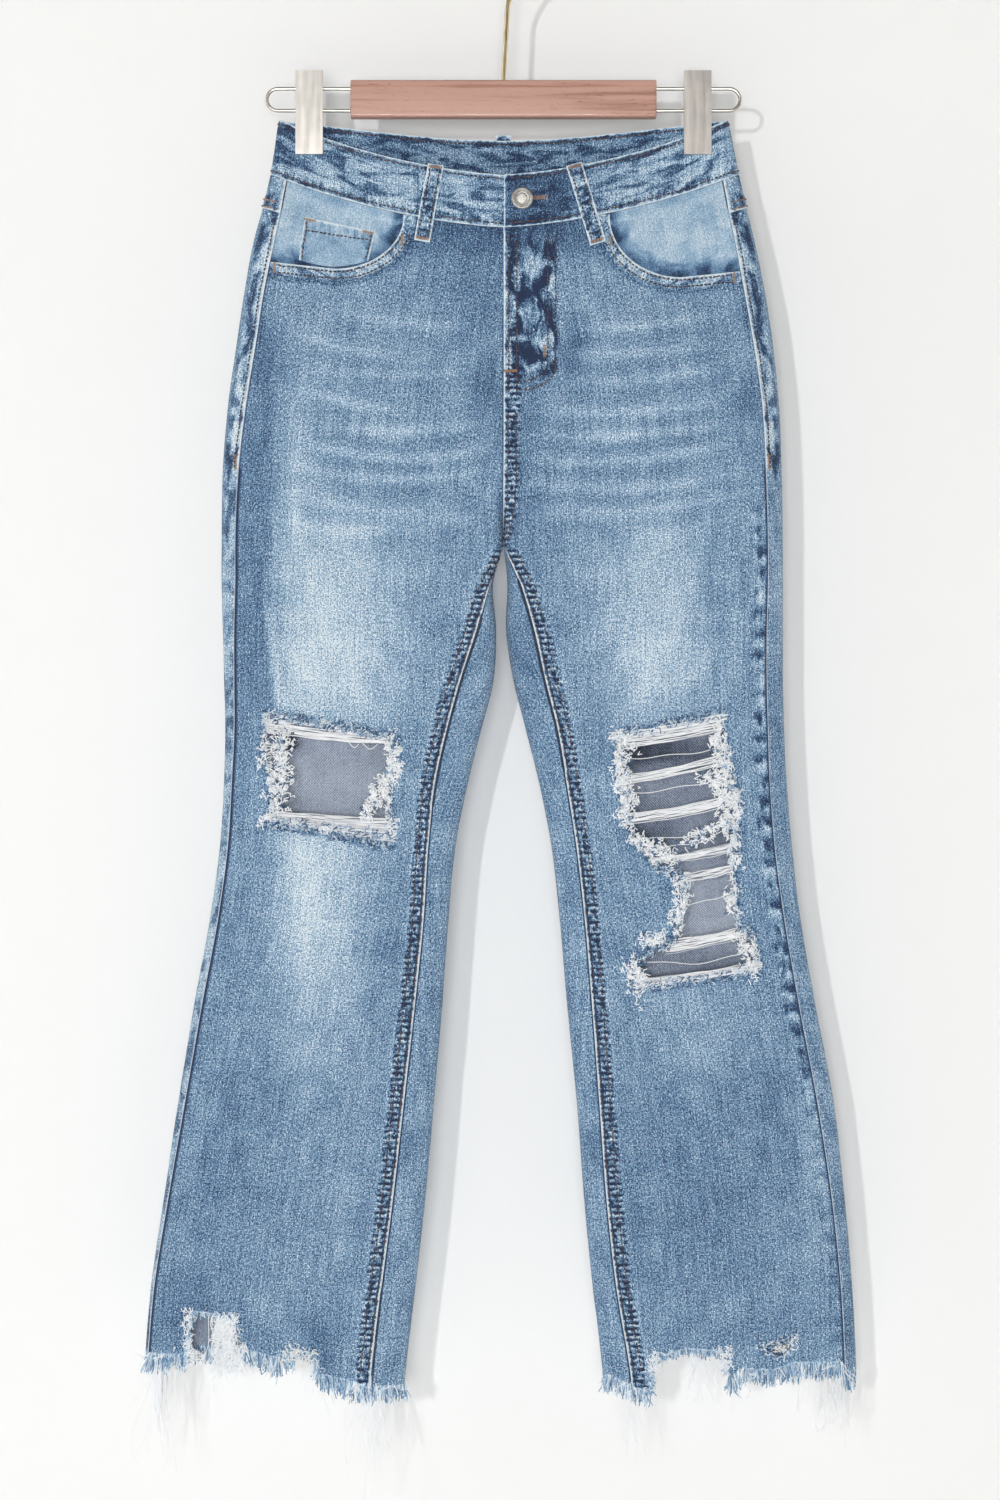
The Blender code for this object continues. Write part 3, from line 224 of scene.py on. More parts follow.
def qOf(side, w, drop):
    # where a width lies on the section: 0 at the outer fold to 3 at the inner edge
    outer, inner, outerReach, innerReach = foldsOf(side, drop)
    nearOuter = 2 / np.pi * np.arccos(np.clip(1 - (outer - w) / outerReach, 0, 1))
    nearInner = 3 - 2 / np.pi * np.arccos(np.clip(1 - (w - inner) / innerReach, 0, 1))
    flat = 1 + (outer - outerReach - w) / ((outer - outerReach) - (inner + innerReach))
    return np.where(flat < 1, nearOuter, np.where(flat > 2, nearInner, flat))


def facePoint(side, face, w, drop, inset=0.0):
    # the point of one side's face at a width and drop
    w, drop = np.broadcast_arrays(np.asarray(w, float), np.asarray(drop, float))
    point = loopPoint(side, face * qOf(side, w, drop), drop, inset)
    point[..., 0] = sides[side] * w
    return point


def garmentPoint(face, x, drop, inset=0.0):
    # the point of a face at an X, on whichever side that is
    x = np.asarray(x, float)
    right, left = (facePoint(side, face, np.maximum(sides[side] * x, 0), drop, inset) for side in sides)
    point = np.where((x < 0)[..., None], right, left)
    point[..., 0] = x
    return point


def edgeDrop(edge, side, face, w):
    # side + (centre - side) x (1 - (w / outer)^power)
    centre = np.where(face == front, edge["front"], edge["back"])
    share = np.clip(np.abs(w) / outline(side, "outer", edge["side"]), 0, 1)
    return edge["side"] + (centre - edge["side"]) * (1 - share ** edge["power"])


def panelSpan(side, face, drop):
    # q at a panel's two long edges: the outseam, and the inseam or, above the fork, the rise
    outseam, inseam = (qOf(side, outline(side, name, drop), drop) for name in ("outseam", "inseam"))
    inseam = np.where(drop < crotch, 3.0, inseam)
    if face == front:
        return -outseam - 0.004, -inseam + 0.004
    return -outseam + 0.004, np.where(drop < crotch, 3.0, 6 - inseam - 0.004)


def runOf(path):
    # the length run so far at each point of a path, or of each row of a grid
    steps = np.linalg.norm(np.diff(path, axis=-2), axis=-1)
    return np.concatenate([np.zeros_like(steps[..., :1]), np.cumsum(steps, axis=-1)], axis=-1)


def apart(run):
    # keeps each row's run clear of the next, so that one interpolation serves them all
    return 10.0 * np.arange(len(run))[:, None]


def panelGrid(side, face, dropOf):
    # q and drop of an even grid, its columns equal steps apart along each row
    share = np.linspace(0, 1, 161)[None, :]
    drop = dropOf(np.full((1, 161), 0.1), face)
    for _ in range(3):
        start, end = panelSpan(side, face, drop)
        q = start + share * (end - start)
        point = loopPoint(side, q, drop)
        drop = dropOf(np.abs(point[..., 0]), facingOf(q))
    run = runOf(point)
    columns = int(np.median(run[:, -1]) / body["grid"])
    places = np.linspace(0, 1, columns + 1)[None, :] * run[:, -1:]
    even = [
        np.interp((places + apart(run)).ravel(), (run + apart(run)).ravel(), values.ravel())
        for values in (q, drop)
    ]
    return *(values.reshape(places.shape) for values in even), places


def panelDrops(side, seam, foot):
    # a panel's rows: along the seam above, level from the hip down
    topRow, hip = seam["side"], body["hip"]
    rows = np.arange(topRow, foot, body["grid"])[:, None]
    lean = np.clip((hip - rows) / (hip - topRow), 0, 1)
    return lambda w, facing: rows + lean * (edgeDrop(seam, side, facing, w) + gap / 2 - topRow)


class Wire:
    # a socket in one finish's node tree; arithmetic on it adds Math nodes
    def __init__(self, tree, socket=None):
        self.tree, self.socket = tree, socket

    def node(self, kind, settings=None, values=None, output=0):
        # any node: its type, its settings, then the values or links of its sockets
        made = self.tree.nodes.new("ShaderNode" + kind)
        settings = dict(settings or {})
        for i, (place, shade) in enumerate(settings.pop("stops", ())):
            stops = made.color_ramp.elements
            stop = stops[i] if i < 2 else stops.new(place)
            stop.position, stop.color = place, shade
        for name, value in settings.items():
            setattr(made, name, value)
        for name, value in (values or {}).items():
            if isinstance(value, Wire):
                self.tree.links.new(value.socket, made.inputs[name])
            else:
                made.inputs[name].default_value = value
        return Wire(self.tree, made.outputs[output])

    def maths(self, operation, *values):
        return self.node("Math", {"operation": operation}, dict(enumerate(values)))

    def __add__(self, other):
        return self.maths("ADD", self, other)

    def __sub__(self, other):
        return self.maths("SUBTRACT", self, other)

    def __rsub__(self, other):
        return self.maths("SUBTRACT", other, self)

    def __mul__(self, other):
        return self.maths("MULTIPLY", self, other)

    __radd__, __rmul__ = __add__, __mul__

    def sine(self):
        return self.maths("SINE", self)

    def swing(self, below, above):
        # its negative part times one gain, and its positive part times another
        return self.maths("MINIMUM", self, 0.0) * below + self.maths("MAXIMUM", self, 0.0) * above

    def within(self, low, high):
        # 0 below low to 1 above high, smoothly; turned over where low is the greater
        places = {"From Min": min(low, high), "From Max": max(low, high)}
        ends = {"To Min": float(low > high), "To Max": float(low < high)}
        settings = {"interpolation_type": "SMOOTHSTEP"}
        return self.node("MapRange", settings, {"Value": self, **places, **ends})

    def attribute(self, name):
        return self.node("Attribute", {"attribute_name": name}, output="Fac")

    def pair(self, first, second):
        return self.node("CombineXYZ", None, {0: first, 1: second})

    def place(self, scale=None):
        # the place on the object, and where a scale is given, drawn out by it
        here = self.node("TexCoord", output="Object")
        return here if scale is None else self.node("Mapping", None, {"Vector": here, "Scale": scale})

    def noise(self, vector, scale=1.0, detail=2.0, roughness=0.5, swirl=0.0):
        values = {"Vector": vector, "Scale": scale, "Detail": detail, "Roughness": roughness}
        return self.node("TexNoise", None, {**values, "Distortion": swirl}, "Fac")

    def ramp(self, stops):
        return self.node("ValToRGB", {"stops": stops}, {"Fac": self})

    def blend(self, first, second):
        # this wire's value mixes two colours
        return self.node("Mix", {"data_type": "RGBA"}, {"Factor": self, 6: first, 7: second}, 2)


def colour(red, green, blue):
    # a colour as seen on a screen, 0 to 255, in the renderer's linear light
    seen = np.array([red, green, blue]) / 255
    linear = np.where(seen > 0.04045, ((seen + 0.055) / 1.055) ** 2.4, seen / 12.92)
    return (*linear.tolist(), 1.0)


def tones(*shades):
    # a ramp's stops, evenly spaced
    return [(i / (len(shades) - 1), colour(*shade)) for i, shade in enumerate(shades)]


def newFinish(name, roughness, metallic=0.0, sheen=0.0, coat=0.0):
    material = bpy.data.materials.new(name)
    material.use_nodes = True
    shader = material.node_tree.nodes["Principled BSDF"]
    for label, value in (
        ("Roughness", roughness), ("Metallic", metallic), ("Sheen Weight", sheen), ("Coat Weight", coat),
    ):
        shader.inputs[label].default_value = value
    return material, Wire(material.node_tree), shader


def join(wire, shader, name="Base Color"):
    wire.tree.links.new(wire.socket, shader.inputs[name])


def bump(start, shader, height, distance):
    # raises the finish by height, in parts of distance
    join(start.node("Bump", None, {"Height": height, "Distance": distance}, "Normal"), shader, "Normal")


denimLook = dict(
    tones=tones((28, 45, 77), (67, 101, 138), (115, 150, 183), (165, 193, 215), (232, 240, 244)),
    grainSize=0.00105,
    grain=0.80,
    streak=0.55,
    slub=0.22,
    cloud=0.20,
    twill=0.0010,  # spacing of the diagonal ribs, and on a cloth without ropes
    plainTwill=0.0021,
    bump=0.00022,
)


def denimFinish(name, stops, middle, grain, ropes=True):
    # tone = middle + fade and painted shade + grain + streak + slub + cloud + rope + blot, then the worn
    # edges go white and the dark lines black (painted shadow in the seams' gaps, and dark stitch rows);
    # without ropes the painted inside shade is taken off
    look = denimLook
    material, start, shader = newFinish(name, 0.88, sheen=0.12)
    across, along = start.attribute("across"), start.attribute("along")
    spot = start.pair(across, along)
    speckle = start.noise(spot, 1 / look["grainSize"], 1.0, 0.6) - 0.5
    streak = start.noise(start.pair(across * 950.0, along * 380.0), roughness=0.6) - 0.5
    slub = start.noise(start.pair(across * 560.0, along * 24.0)) - 0.5
    cloud = start.noise(spot, 46.0, 3.0, 0.6) - 0.5
    rib = ((across + along * 0.9) * (2 * np.pi / look["twill" if ropes else "plainTwill"])).sine()
    tone = (speckle * look["grain"] + streak * look["streak"]) * (2 * grain)
    tone = tone + slub * (2 * look["slub"] * grain) + cloud * (2 * look["cloud"])
    tone = tone + rib * (0.03 if ropes else 0.16) + middle + start.attribute("wash")
    height = speckle * 0.6 + streak * 0.5 + rib * 0.25 + slub * 0.5
    if ropes:
        ropeAlong = start.attribute("ropeAlong")
        twist = start.pair(ropeAlong, start.attribute("ropeAcross"))
        loose = start.noise(twist, roughness=0.55) - 0.5
        rungs = (ropeAlong * (2 * np.pi) + loose * 7.0).sine()
        rope = (loose + 0.5).within(0.36, 0.64) * 0.68 - 0.34 + rungs * 0.29
        spread = start.pair(start.attribute("blotAlong"), start.attribute("blotAcross"))
        blot = start.noise(spread, swirl=0.7).within(0.33, 0.69) - 0.5
        weight, much = start.attribute("rope"), start.attribute("blot")
        pale = much.within(0.9, 1.3) * 0.45 + 0.35
        wear = (start.noise(spot, 260.0, 1.0) - 0.5) * 0.0030 + speckle * 0.0015
        tone = tone + rope.swing(1.0, 0.6) * weight + blot.swing(1.0, pale) * much
        height = height + rope * weight * 2.5 + blot * much
        worn = (start.attribute("worn") + wear).within(0.0022, 0.0004)
        # dark lines: painted shadow in the seams' gaps, and dark stitch rows
        dark = (start.attribute("shade") + speckle * 0.001).within(0.0016, 0.0005)
        tone = tone + worn * (0.96 - tone)
        tone = tone - dark * (tone - 0.02)
    else:
        # painted shade on the inside, seen dark through the rips
        tone = tone - start.attribute("gloom")
    join(tone.ramp(stops), shader)
    bump(start, shader, height, look["bump"])
    return material


insideTones = ((0.0, colour(44, 50, 64)), (0.3, colour(121, 134, 156)), (1.0, colour(224, 232, 244)))
rimTones = tones((150, 168, 190), (205, 215, 225), (240, 243, 245))
denim = denimFinish("denim", denimLook["tones"], 0.465, 1.25)
denimInside = denimFinish("denim_inside", insideTones, 0.50, 0.45, ropes=False)
facingCloth = denimFinish("denim_facing", denimLook["tones"], 0.66, 0.5)
hemRim = denimFinish("denim_edge", rimTones, 0.55, 0.5, ropes=False)
walled = [denim, denimInside, hemRim]  # what a cloth's outside, inside and rim are made of


def threadFinish(name, *shades):
    # the colours of one thread from tint 0 to tint 1, with flecks from its twist
    material, start, shader = newFinish(name, 0.8, sheen=0.2)
    fleck = start.noise(start.place(), 700.0)
    mix = (start.attribute("tint") + (fleck - 0.5) * 0.3).within(0.0, 1.0)
    join(mix.ramp(tones(*shades)), shader)
    bump(start, shader, start.noise(start.place(), 2600.0, 1.0), 0.0001)
    return material


threadTan = threadFinish("thread_tan", (184, 146, 114), (118, 88, 72))
threadDark = threadFinish("thread_navy", (98, 80, 84), (30, 34, 52))
threadBrown = threadFinish("thread_brown", (98, 70, 62), (38, 34, 46))
threadWeft = threadFinish("weft", (250, 251, 253), (176, 184, 196))
threadFray = threadFinish("fray", (250, 252, 255), (206, 223, 236), (122, 164, 200), (38, 76, 120))
threadBeige = threadFinish("thread_beige", (246, 245, 243), (168, 178, 190))


def metalFinish(name, pale, deep, roughness, brush=(900.0, 900.0, 30.0)):
    # brushed metal: fine scratches drawn out along one axis, and a faint smear of wear
    material, start, shader = newFinish(name, roughness, metallic=1.0)
    scratch = start.noise(start.place(brush), detail=3.0)
    smear = start.noise(start.place(), 60.0)
    shine = (scratch * 0.5 + smear * 0.5).within(0.3, 0.7)
    join(shine.blend(colour(*deep), colour(*pale)), shader)
    join(scratch * 0.14 + (roughness - 0.07), shader, "Roughness")
    bump(start, shader, scratch, 0.00005)
    return material


clipBrush, crossBrush, evenBrush = (300.0, 300.0, 20.0), (60.0, 900.0, 900.0), (700.0, 700.0, 700.0)
clipMetal = metalFinish("clip_metal", (229, 224, 218), (212, 207, 201), 0.30, clipBrush)
# a darker, rougher copy of the clip metal: painted shade on the left clip
clipMetalShaded = metalFinish("clip_metal_painted_shade", (210, 204, 198), (190, 184, 180), 0.34, clipBrush)
wireMetal = metalFinish("wire_metal", (226, 222, 214), (180, 175, 166), 0.3, crossBrush)
hookMetal = metalFinish("hook_metal", (226, 212, 178), (190, 172, 132), 0.28)
zipMetal = metalFinish("zip_metal", (196, 170, 120), (132, 108, 70), 0.36)
buttonMetal = metalFinish("button_metal", (214, 212, 208), (156, 153, 149), 0.52, evenBrush)


def woodFinish():
    # pale beech: long soft bands with short dark flecks along the bar
    material, start, shader = newFinish("wood", 0.42, coat=0.25)
    band = start.noise(start.place((9.0, 60.0, 230.0)), detail=3.0)
    fleck = start.noise(start.place((150.0, 900.0, 1700.0)), detail=1.0)
    tone = band.within(0.1, 0.9) - fleck.within(0.66, 0.74) * 0.34
    low, middle, high = colour(140, 92, 76), colour(193, 149, 133), colour(198, 156, 141)
    join(tone.ramp(((0.0, low), (0.45, middle), (1.0, high))), shader)
    bump(start, shader, fleck + band * 0.5, 0.00012)
    return material


def tapeFinish():
    # woven tape, a fine basket weave
    material, start, shader = newFinish("zip_tape", 0.85, sheen=0.1)
    width, rise = (start.node("SeparateXYZ", None, {0: start.place()}, part) for part in (0, 2))
    weave = (width * 5200.0).sine() * (rise * 5200.0).sine()
    join((weave * 0.3 + 0.5).blend(colour(44, 56, 82), colour(78, 92, 120)), shader)
    bump(start, shader, weave, 0.0001)
    return material


wood, tapeCloth = woodFinish(), tapeFinish()
print("stage: finishes made")


def addObject(name, data):
    obj = bpy.data.objects.new(name, data)
    bpy.context.scene.collection.objects.link(obj)
    return obj


def makePiece(name, points, faceGroups, materials, slots=None, values=None, sharp=55, slot="denim"):
    # one object from its points and from arrays of faces with equal corner counts
    corners = np.concatenate([np.asarray(group).ravel() for group in faceGroups])
    sizes = np.concatenate([np.full(len(group), np.shape(group)[1]) for group in faceGroups])
    mesh = bpy.data.meshes.new(name)
    mesh.vertices.add(len(points))
    mesh.vertices.foreach_set("co", np.asarray(points, np.float32).ravel())
    mesh.loops.add(len(corners))
    mesh.loops.foreach_set("vertex_index", corners.astype(np.int32))
    mesh.polygons.add(len(sizes))
    mesh.polygons.foreach_set("loop_start", (np.cumsum(sizes) - sizes).astype(np.int32))
    if slots is not None:
        mesh.polygons.foreach_set("material_index", slots.astype(np.int32))
    for key, value in (values or {}).items():
        value = np.broadcast_to(np.asarray(value, np.float32), (len(points),))
        mesh.attributes.new(key, "FLOAT", "POINT").data.foreach_set("value", value.copy())
    for material in materials:
        mesh.materials.append(material)
    mesh.update(calc_edges=True)
    mesh.shade_smooth()
    mesh.set_sharp_from_angle(angle=np.radians(sharp))
    obj = addObject(name, mesh)
    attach(obj, "root")
    return obj


def shell(name, outer, inner, materials, keep=None, values=None, slot="denim", node=None):
    # a closed wall: the kept cells of two grids of points, and a rim round every open edge.
    # Its outside, inside and rim take materials 0, 1 and 2
    rows, columns = outer.shape[:2]
    keep = np.ones((rows - 1, columns - 1), bool) if keep is None else keep.copy()
    for _ in range(6):  # no two cells may meet at a corner alone
        a, b, c, d = keep[:-1, :-1], keep[:-1, 1:], keep[1:, :-1], keep[1:, 1:]
        b |= a & d & ~b & ~c
        a |= b & c & ~a & ~d
    count = rows * columns
    index = np.arange(count).reshape(rows, columns)
    quads = np.stack([index[:-1, :-1], index[:-1, 1:], index[1:, 1:], index[1:, :-1]], -1)[keep]
    padded = np.pad(keep, 1)
    up, down = padded[:-1, 1:-1], padded[1:, 1:-1]  # the cells above and below each level edge
    before, after = padded[1:-1, :-1], padded[1:-1, 1:]
    level, upright = (index[:, :-1], index[:, 1:]), (index[:-1], index[1:])
    rims = np.concatenate([
        np.stack([first, second, second + count, first + count], -1)[chosen]
        for (first, second), chosen in (
            (level[::-1], down & ~up), (level, up & ~down),
            (upright[::-1], before & ~after), (upright, after & ~before),
        )
    ])
    faceList = np.concatenate([quads, quads[:, ::-1] + count, rims])
    slots = np.repeat([0, 1, 2], [len(quads), len(quads), len(rims)])
    points = np.concatenate([outer.reshape(-1, 3), inner.reshape(-1, 3)])
    side1, side2 = (points[quads[:, i]] - points[quads[:, 0]] for i in (1, 3))
    outward = points[quads[:, 0]] - points[quads[:, 0] + count]
    if (np.cross(side1, side2) * outward).sum() < 0:
        faceList = faceList[:, ::-1]
    used, renumbered = np.unique(faceList, return_inverse=True)
    values = {
        key: np.tile(np.broadcast_to(value, (rows, columns)).ravel(), 2)[used]
        for key, value in (values or {}).items()
    }
    piece = makePiece(
        name, points[used], [renumbered.reshape(-1, 4)], materials, slots, values, slot=slot
    )
    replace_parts(piece, node)
    return piece


def unit(vectors):
    # vector / its length
    return vectors / np.maximum(np.linalg.norm(vectors, axis=-1, keepdims=True), 1e-12)


def tubes(paths, radii, round=4):
    # closed tubes round many paths at once: path + radius x (cos x across + sin x up)
    paths = np.asarray(paths, float)
    count, long = paths.shape[:2]
    heading = unit(np.gradient(paths, axis=1))
    aside = np.where(np.abs(heading[..., 1:2]) > 0.8, (1.0, 0.0, 0.0), (0.0, 1.0, 0.0))
    across = unit(np.cross(heading, aside))
    up = np.cross(across, heading)
    angle = (np.arange(round) / round * 2 * np.pi)[:, None]
    ring = np.cos(angle) * across[:, :, None] + np.sin(angle) * up[:, :, None]
    radii = np.broadcast_to(np.asarray(radii, float), (count, long))[..., None, None]
    points = (paths[:, :, None] + radii * ring).reshape(-1, 3)
    index = np.arange(count * long * round).reshape(count, long, round)
    beside = np.roll(index, -1, axis=2)
    quads = np.stack([index[:, :-1], index[:, 1:], beside[:, 1:], beside[:, :-1]], -1)
    return points, [quads.reshape(-1, 4), index[:, 0], index[:, -1, ::-1]]


def tubePiece(name, paths, radii, material, slot="fray", tint=0.0, round=4):
    # one object of many tubes; tint is one number for each tube
    points, faceGroups = tubes(paths, radii, round)
    tints = np.repeat(np.broadcast_to(tint, (len(paths),)), len(points) // len(paths))
    return makePiece(name, points, faceGroups, [material], values={"tint": tints}, slot=slot, sharp=30)


def nearestOn(line, w, drop, closed=True):
    # distance to an outline, and the nearest place on it
    line = np.array(line, float)
    start, end = (line, np.roll(line, -1, axis=0)) if closed else (line[:-1], line[1:])
    spot = np.stack([w, drop], -1)[..., None, :]
    share = ((spot - start) * (end - start)).sum(-1) / ((end - start) ** 2).sum(-1)
    nearest = start + np.clip(share, 0, 1)[..., None] * (end - start)
    distance = np.linalg.norm(spot - nearest, axis=-1)
    best = distance.argmin(-1)[..., None]
    place = np.take_along_axis(nearest, best[..., None], -2)[..., 0, :]
    return np.take_along_axis(distance, best, -1)[..., 0], place[..., 0], place[..., 1]


def within(line, w, drop):
    # even-odd test: how many of the outline's edges lie to the right of each point
    line = np.array(line, float)
    (w0, drop0), (w1, drop1) = line.T, np.roll(line, -1, axis=0).T
    w, drop = w[..., None], drop[..., None]
    spans = (drop0 > drop) != (drop1 > drop)
    meets = w0 + (drop - drop0) / np.where(drop1 == drop0, 1e-12, drop1 - drop0) * (w1 - w0)
    return (spans & (w < meets)).sum(-1) % 2 == 1


def evenSteps(line, step, closed=False):
    # the same line with its points a step apart
    line = np.array(line, float)
    line = np.concatenate([line, line[:1]]) if closed else line
    run = runOf(line)
    places = np.linspace(0, run[-1], max(int(run[-1] / step), 2) + 1)
    found = interpolated(places, run, line)
    return found[:-1] if closed else found


def interpolated(places, run, path):
    # the points of a path at these lengths along it
    return np.stack([np.interp(places, run, part) for part in path.T], -1)


# random numbers: even between two values, and spread round 0
def uniform(low, high, count):
    return rng.uniform(low, high, count)


def normal(spread, count):
    return rng.normal(0, spread, count)


def ragged(line, step=0.004, much=0.0008):
    # an outline with its edge a little torn
    found = evenSteps(line, step, closed=True)
    return found + normal(much, found.shape)


def smooth(value, low, high):
    # 0 to 1 between low and high, 3t^2 - 2t^3
    t = np.clip((value - low) / (high - low), 0, 1)
    return t * t * (3 - 2 * t)


def fading(value, low, high):
    # 1 to 0 between low and high
    return 1 - smooth(value, low, high)


# where the hem ends: w, drop
hemRows = {
    ("right", front): (
        (60, 1166.5), (109, 1166.5), (124, 1161.6), (148, 1156), (150, 1140), (165, 1137.5),
        (179, 1143.5), (206, 1137), (211, 1120), (219, 1112.5), (234, 1107.6), (251, 1105.6),
        (254, 1134.5), (258, 1140.5), (310, 1140.5),
    ),
    ("left", front): (
        (60, 1159), (88, 1159), (107, 1167.5), (117, 1168.8), (119, 1144), (134, 1139.5), (146, 1136),
        (176, 1138), (179, 1153), (183, 1158.5), (190, 1152), (217, 1153), (232, 1147), (272, 1147),
        (275, 1155), (310, 1155),
    ),
    ("right", back): (
        (60, 1166.5), (82, 1166.5), (92, 1158), (146, 1141), (152, 1131), (178, 1134), (200, 1140),
        (235, 1137), (280, 1140.5), (310, 1140.5),
    ),
    ("left", back): (
        (60, 1159), (88, 1159), (105, 1150), (121, 1139), (146, 1132), (176, 1134), (200, 1144),
        (230, 1143), (278, 1155), (310, 1155),
    ),
}
# the torn holes: w, drop
kneeRips = {
    "right": (
        (191, 626), (88, 643), (91, 690), (90, 726), (187, 714), (186, 690), (193, 655),
    ),
    "left": (
        (88, 644), (175, 626), (177, 642), (189, 696), (184, 744), (189, 796), (203, 804), (205, 834),
        (107, 848), (101, 824), (138, 806), (146, 760), (123, 752), (102, 729), (93, 688),
    ),
}
kneeRips = {side: metres(rip) for side, rip in kneeRips.items()}
hemRip = metres(((203, 1135), (236, 1126), (224, 1143)))
# pocket mouths: w where each starts and is deepest, its lowest drop, and its end past the side
mouths = {
    "right": dict(start=0.080, deepest=0.135, low=0.2704, past=0.230, end=0.2600),
    "left": dict(start=0.085, deepest=0.142, low=0.2772, past=0.235, end=0.2680),
}
mouthTop = 0.2284


def mouthLine(side):
    # a quarter ellipse from the waistband, then a rising line past the side
    mouth = mouths[side]
    turn = np.linspace(0, np.pi / 2, 25)
    w = mouth["deepest"] - (mouth["deepest"] - mouth["start"]) * np.cos(turn)
    drop = mouthTop + (mouth["low"] - mouthTop) * np.sin(turn)
    return np.concatenate([np.stack([w, drop], -1), [(mouth["past"], mouth["end"])]])


def mouthOutline(side):
    # the opening: from the mouth up to the waist
    above = [(mouths[side][name], waistTop["side"]) for name in ("past", "start")]
    return np.concatenate([mouthLine(side), above])


def hemDrop(side, facing, w):
    # straight lines between the hem's rows, front or back
    ahead, behind = (np.interp(w, *metres(hemRows[side, face]).T) for face in faces)
    return np.where(facing == front, ahead, behind)


# faded patches, and darker ones below zero that are partly painted shade, as in the shadow beside the fly: w,
# drop, half width, half height, how much paler
fadeAndShadeSpots = {
    "right": (
        (131, 544, 50, 80, 310), (139, 610, 52, 40, 150), (143, 790, 40, 95, 280), (91, 330, 55, 70, 50),
        (196, 440, 16, 130, -100), (163, 500, 16, 140, 60), (98, 820, 26, 60, -100),
        (225, 1000, 50, 80, -70), (30, 290, 50, 40, -100), (196, 335, 14, 30, -100),
        (163, 325, 14, 30, 80), (163, 780, 14, 90, 100), (163, 620, 16, 200, 60),
        (205, 560, 16, 120, -90), (200, 900, 30, 150, -30), (12, 365, 12, 24, -220),
        (170, 1060, 60, 80, 30), (245, 1110, 34, 40, -140), (147, 1125, 20, 34, -150),
        (152, 738, 34, 24, 120), (66, 247, 30, 14, -120), (182, 340, 14, 22, -100),
        (180, 600, 12, 50, -70),
    ),
    "left": (
        (160, 985, 80, 120, -100), (14, 410, 22, 110, -100), (128, 930, 26, 80, -40),
        (155, 590, 18, 80, -70), (250, 970, 14, 120, 100), (90, 600, 22, 90, 40), (222, 500, 8, 60, 80),
        (150, 860, 40, 35, 80), (125, 544, 50, 80, 260), (130, 600, 50, 35, 120), (149, 905, 45, 70, 90),
        (77, 328, 50, 60, 50), (60, 325, 10, 20, -240), (196, 305, 10, 12, -200),
        (198, 375, 10, 16, -220), (205, 560, 18, 110, -20), (230, 1000, 40, 120, -50),
        (16, 590, 16, 60, -100), (80, 612, 14, 40, -100), (268, 880, 14, 60, 80),
        (225, 1020, 30, 50, 70), (60, 247, 35, 14, -140), (50, 345, 10, 22, -120),
    ),
}
whisker = 1.25  # how strong the faded lines are
# faded lines: three places along (w, drop), half width, how much paler
fadeLines = {
    "right": (
        (140, 303, 90, 312.5, 20, 316.6, 4.8, 100), (172, 320, 125, 335, 80, 339, 5, 130),
        (140, 352, 87, 356, 35, 352.7, 4.5, 120), (170, 364, 120, 379, 70, 385, 5, 130),
        (140, 396, 80, 401, 8, 391.8, 5, 130), (172, 403, 110, 421, 8, 412.9, 5, 150),
        (172, 427, 102, 438, 8, 429, 5.2, 130), (172, 451, 110, 463, 30, 468, 5.2, 100),
        (174, 473, 102, 480, 16, 468, 6, 100), (167, 365, 166, 430, 171, 500, 6, 80),
        (187, 530, 184, 580, 180, 628, 6, 120),
    ),
    "left": (
        (56, 318, 116, 316.5, 178, 305, 4.8, 120), (40, 336.8, 100, 338.3, 172, 330.5, 4.8, 120),
        (46, 360, 120, 358.5, 186, 347, 5, 110), (18, 382.7, 86, 386, 180, 376.5, 5, 130),
        (14, 403.4, 86, 405, 180, 394, 5, 120), (12, 421.2, 101, 424.5, 192, 406, 5, 140),
        (12, 440.4, 108, 446.5, 200, 430, 5.2, 120), (14, 464, 116, 463, 200, 448, 5.5, 100),
        (180, 510, 186, 560, 182, 610, 6, 80),
    ),
}
# small creases in the cloth: w and drop at each end, half width, height
creaseRows = {
    ("right", front): (
        (150, 310, 60, 350, 10, 0.8), (176, 330, 160, 480, 8, 0.9), (165, 405, 60, 425, 7, 0.7),
        (165, 450, 60, 470, 7, 0.7), (190, 500, 180, 640, 7, 1.6), (70, 530, 120, 600, 10, -0.8),
        (215, 740, 110, 790, 14, 1.2), (130, 800, 150, 960, 14, 1.2), (240, 880, 170, 960, 14, -1.2),
        (250, 980, 150, 1090, 16, 1.4), (120, 1020, 140, 1120, 10, -0.9),
    ),
    ("left", front): (
        (60, 315, 170, 325, 9, 0.8), (30, 385, 180, 380, 7, 0.7), (30, 425, 190, 412, 7, 0.8),
        (190, 480, 180, 620, 8, 1.3), (210, 640, 200, 800, 10, 1.4), (230, 850, 120, 920, 14, 1.2),
        (100, 880, 150, 990, 12, -1), (266, 1075, 238, 1120, 6, 2), (230, 1000, 130, 1080, 16, 1.2),
    ),
    ("right", back): (
        (160, 420, 40, 480, 12, 1.2), (200, 640, 90, 680, 12, 1.5), (230, 860, 120, 940, 16, 1.4),
    ),
    ("left", back): (
        (160, 430, 40, 480, 12, 1.2), (210, 650, 90, 670, 12, 1.5), (240, 880, 120, 930, 16, 1.4),
    ),
}
# pressed edges where the fade stops short, the dark side partly painted fold shadow: w and drop at each end,
# how dark, how light
pressFadeAndShadeRows = {
    "right": (
        (193, 535, 181.5, 620, 160, 70), (183, 330, 187, 520, 60, 60),
    ),
    "left": (
        (160, 480, 168, 625, 110, 20),
    ),
}


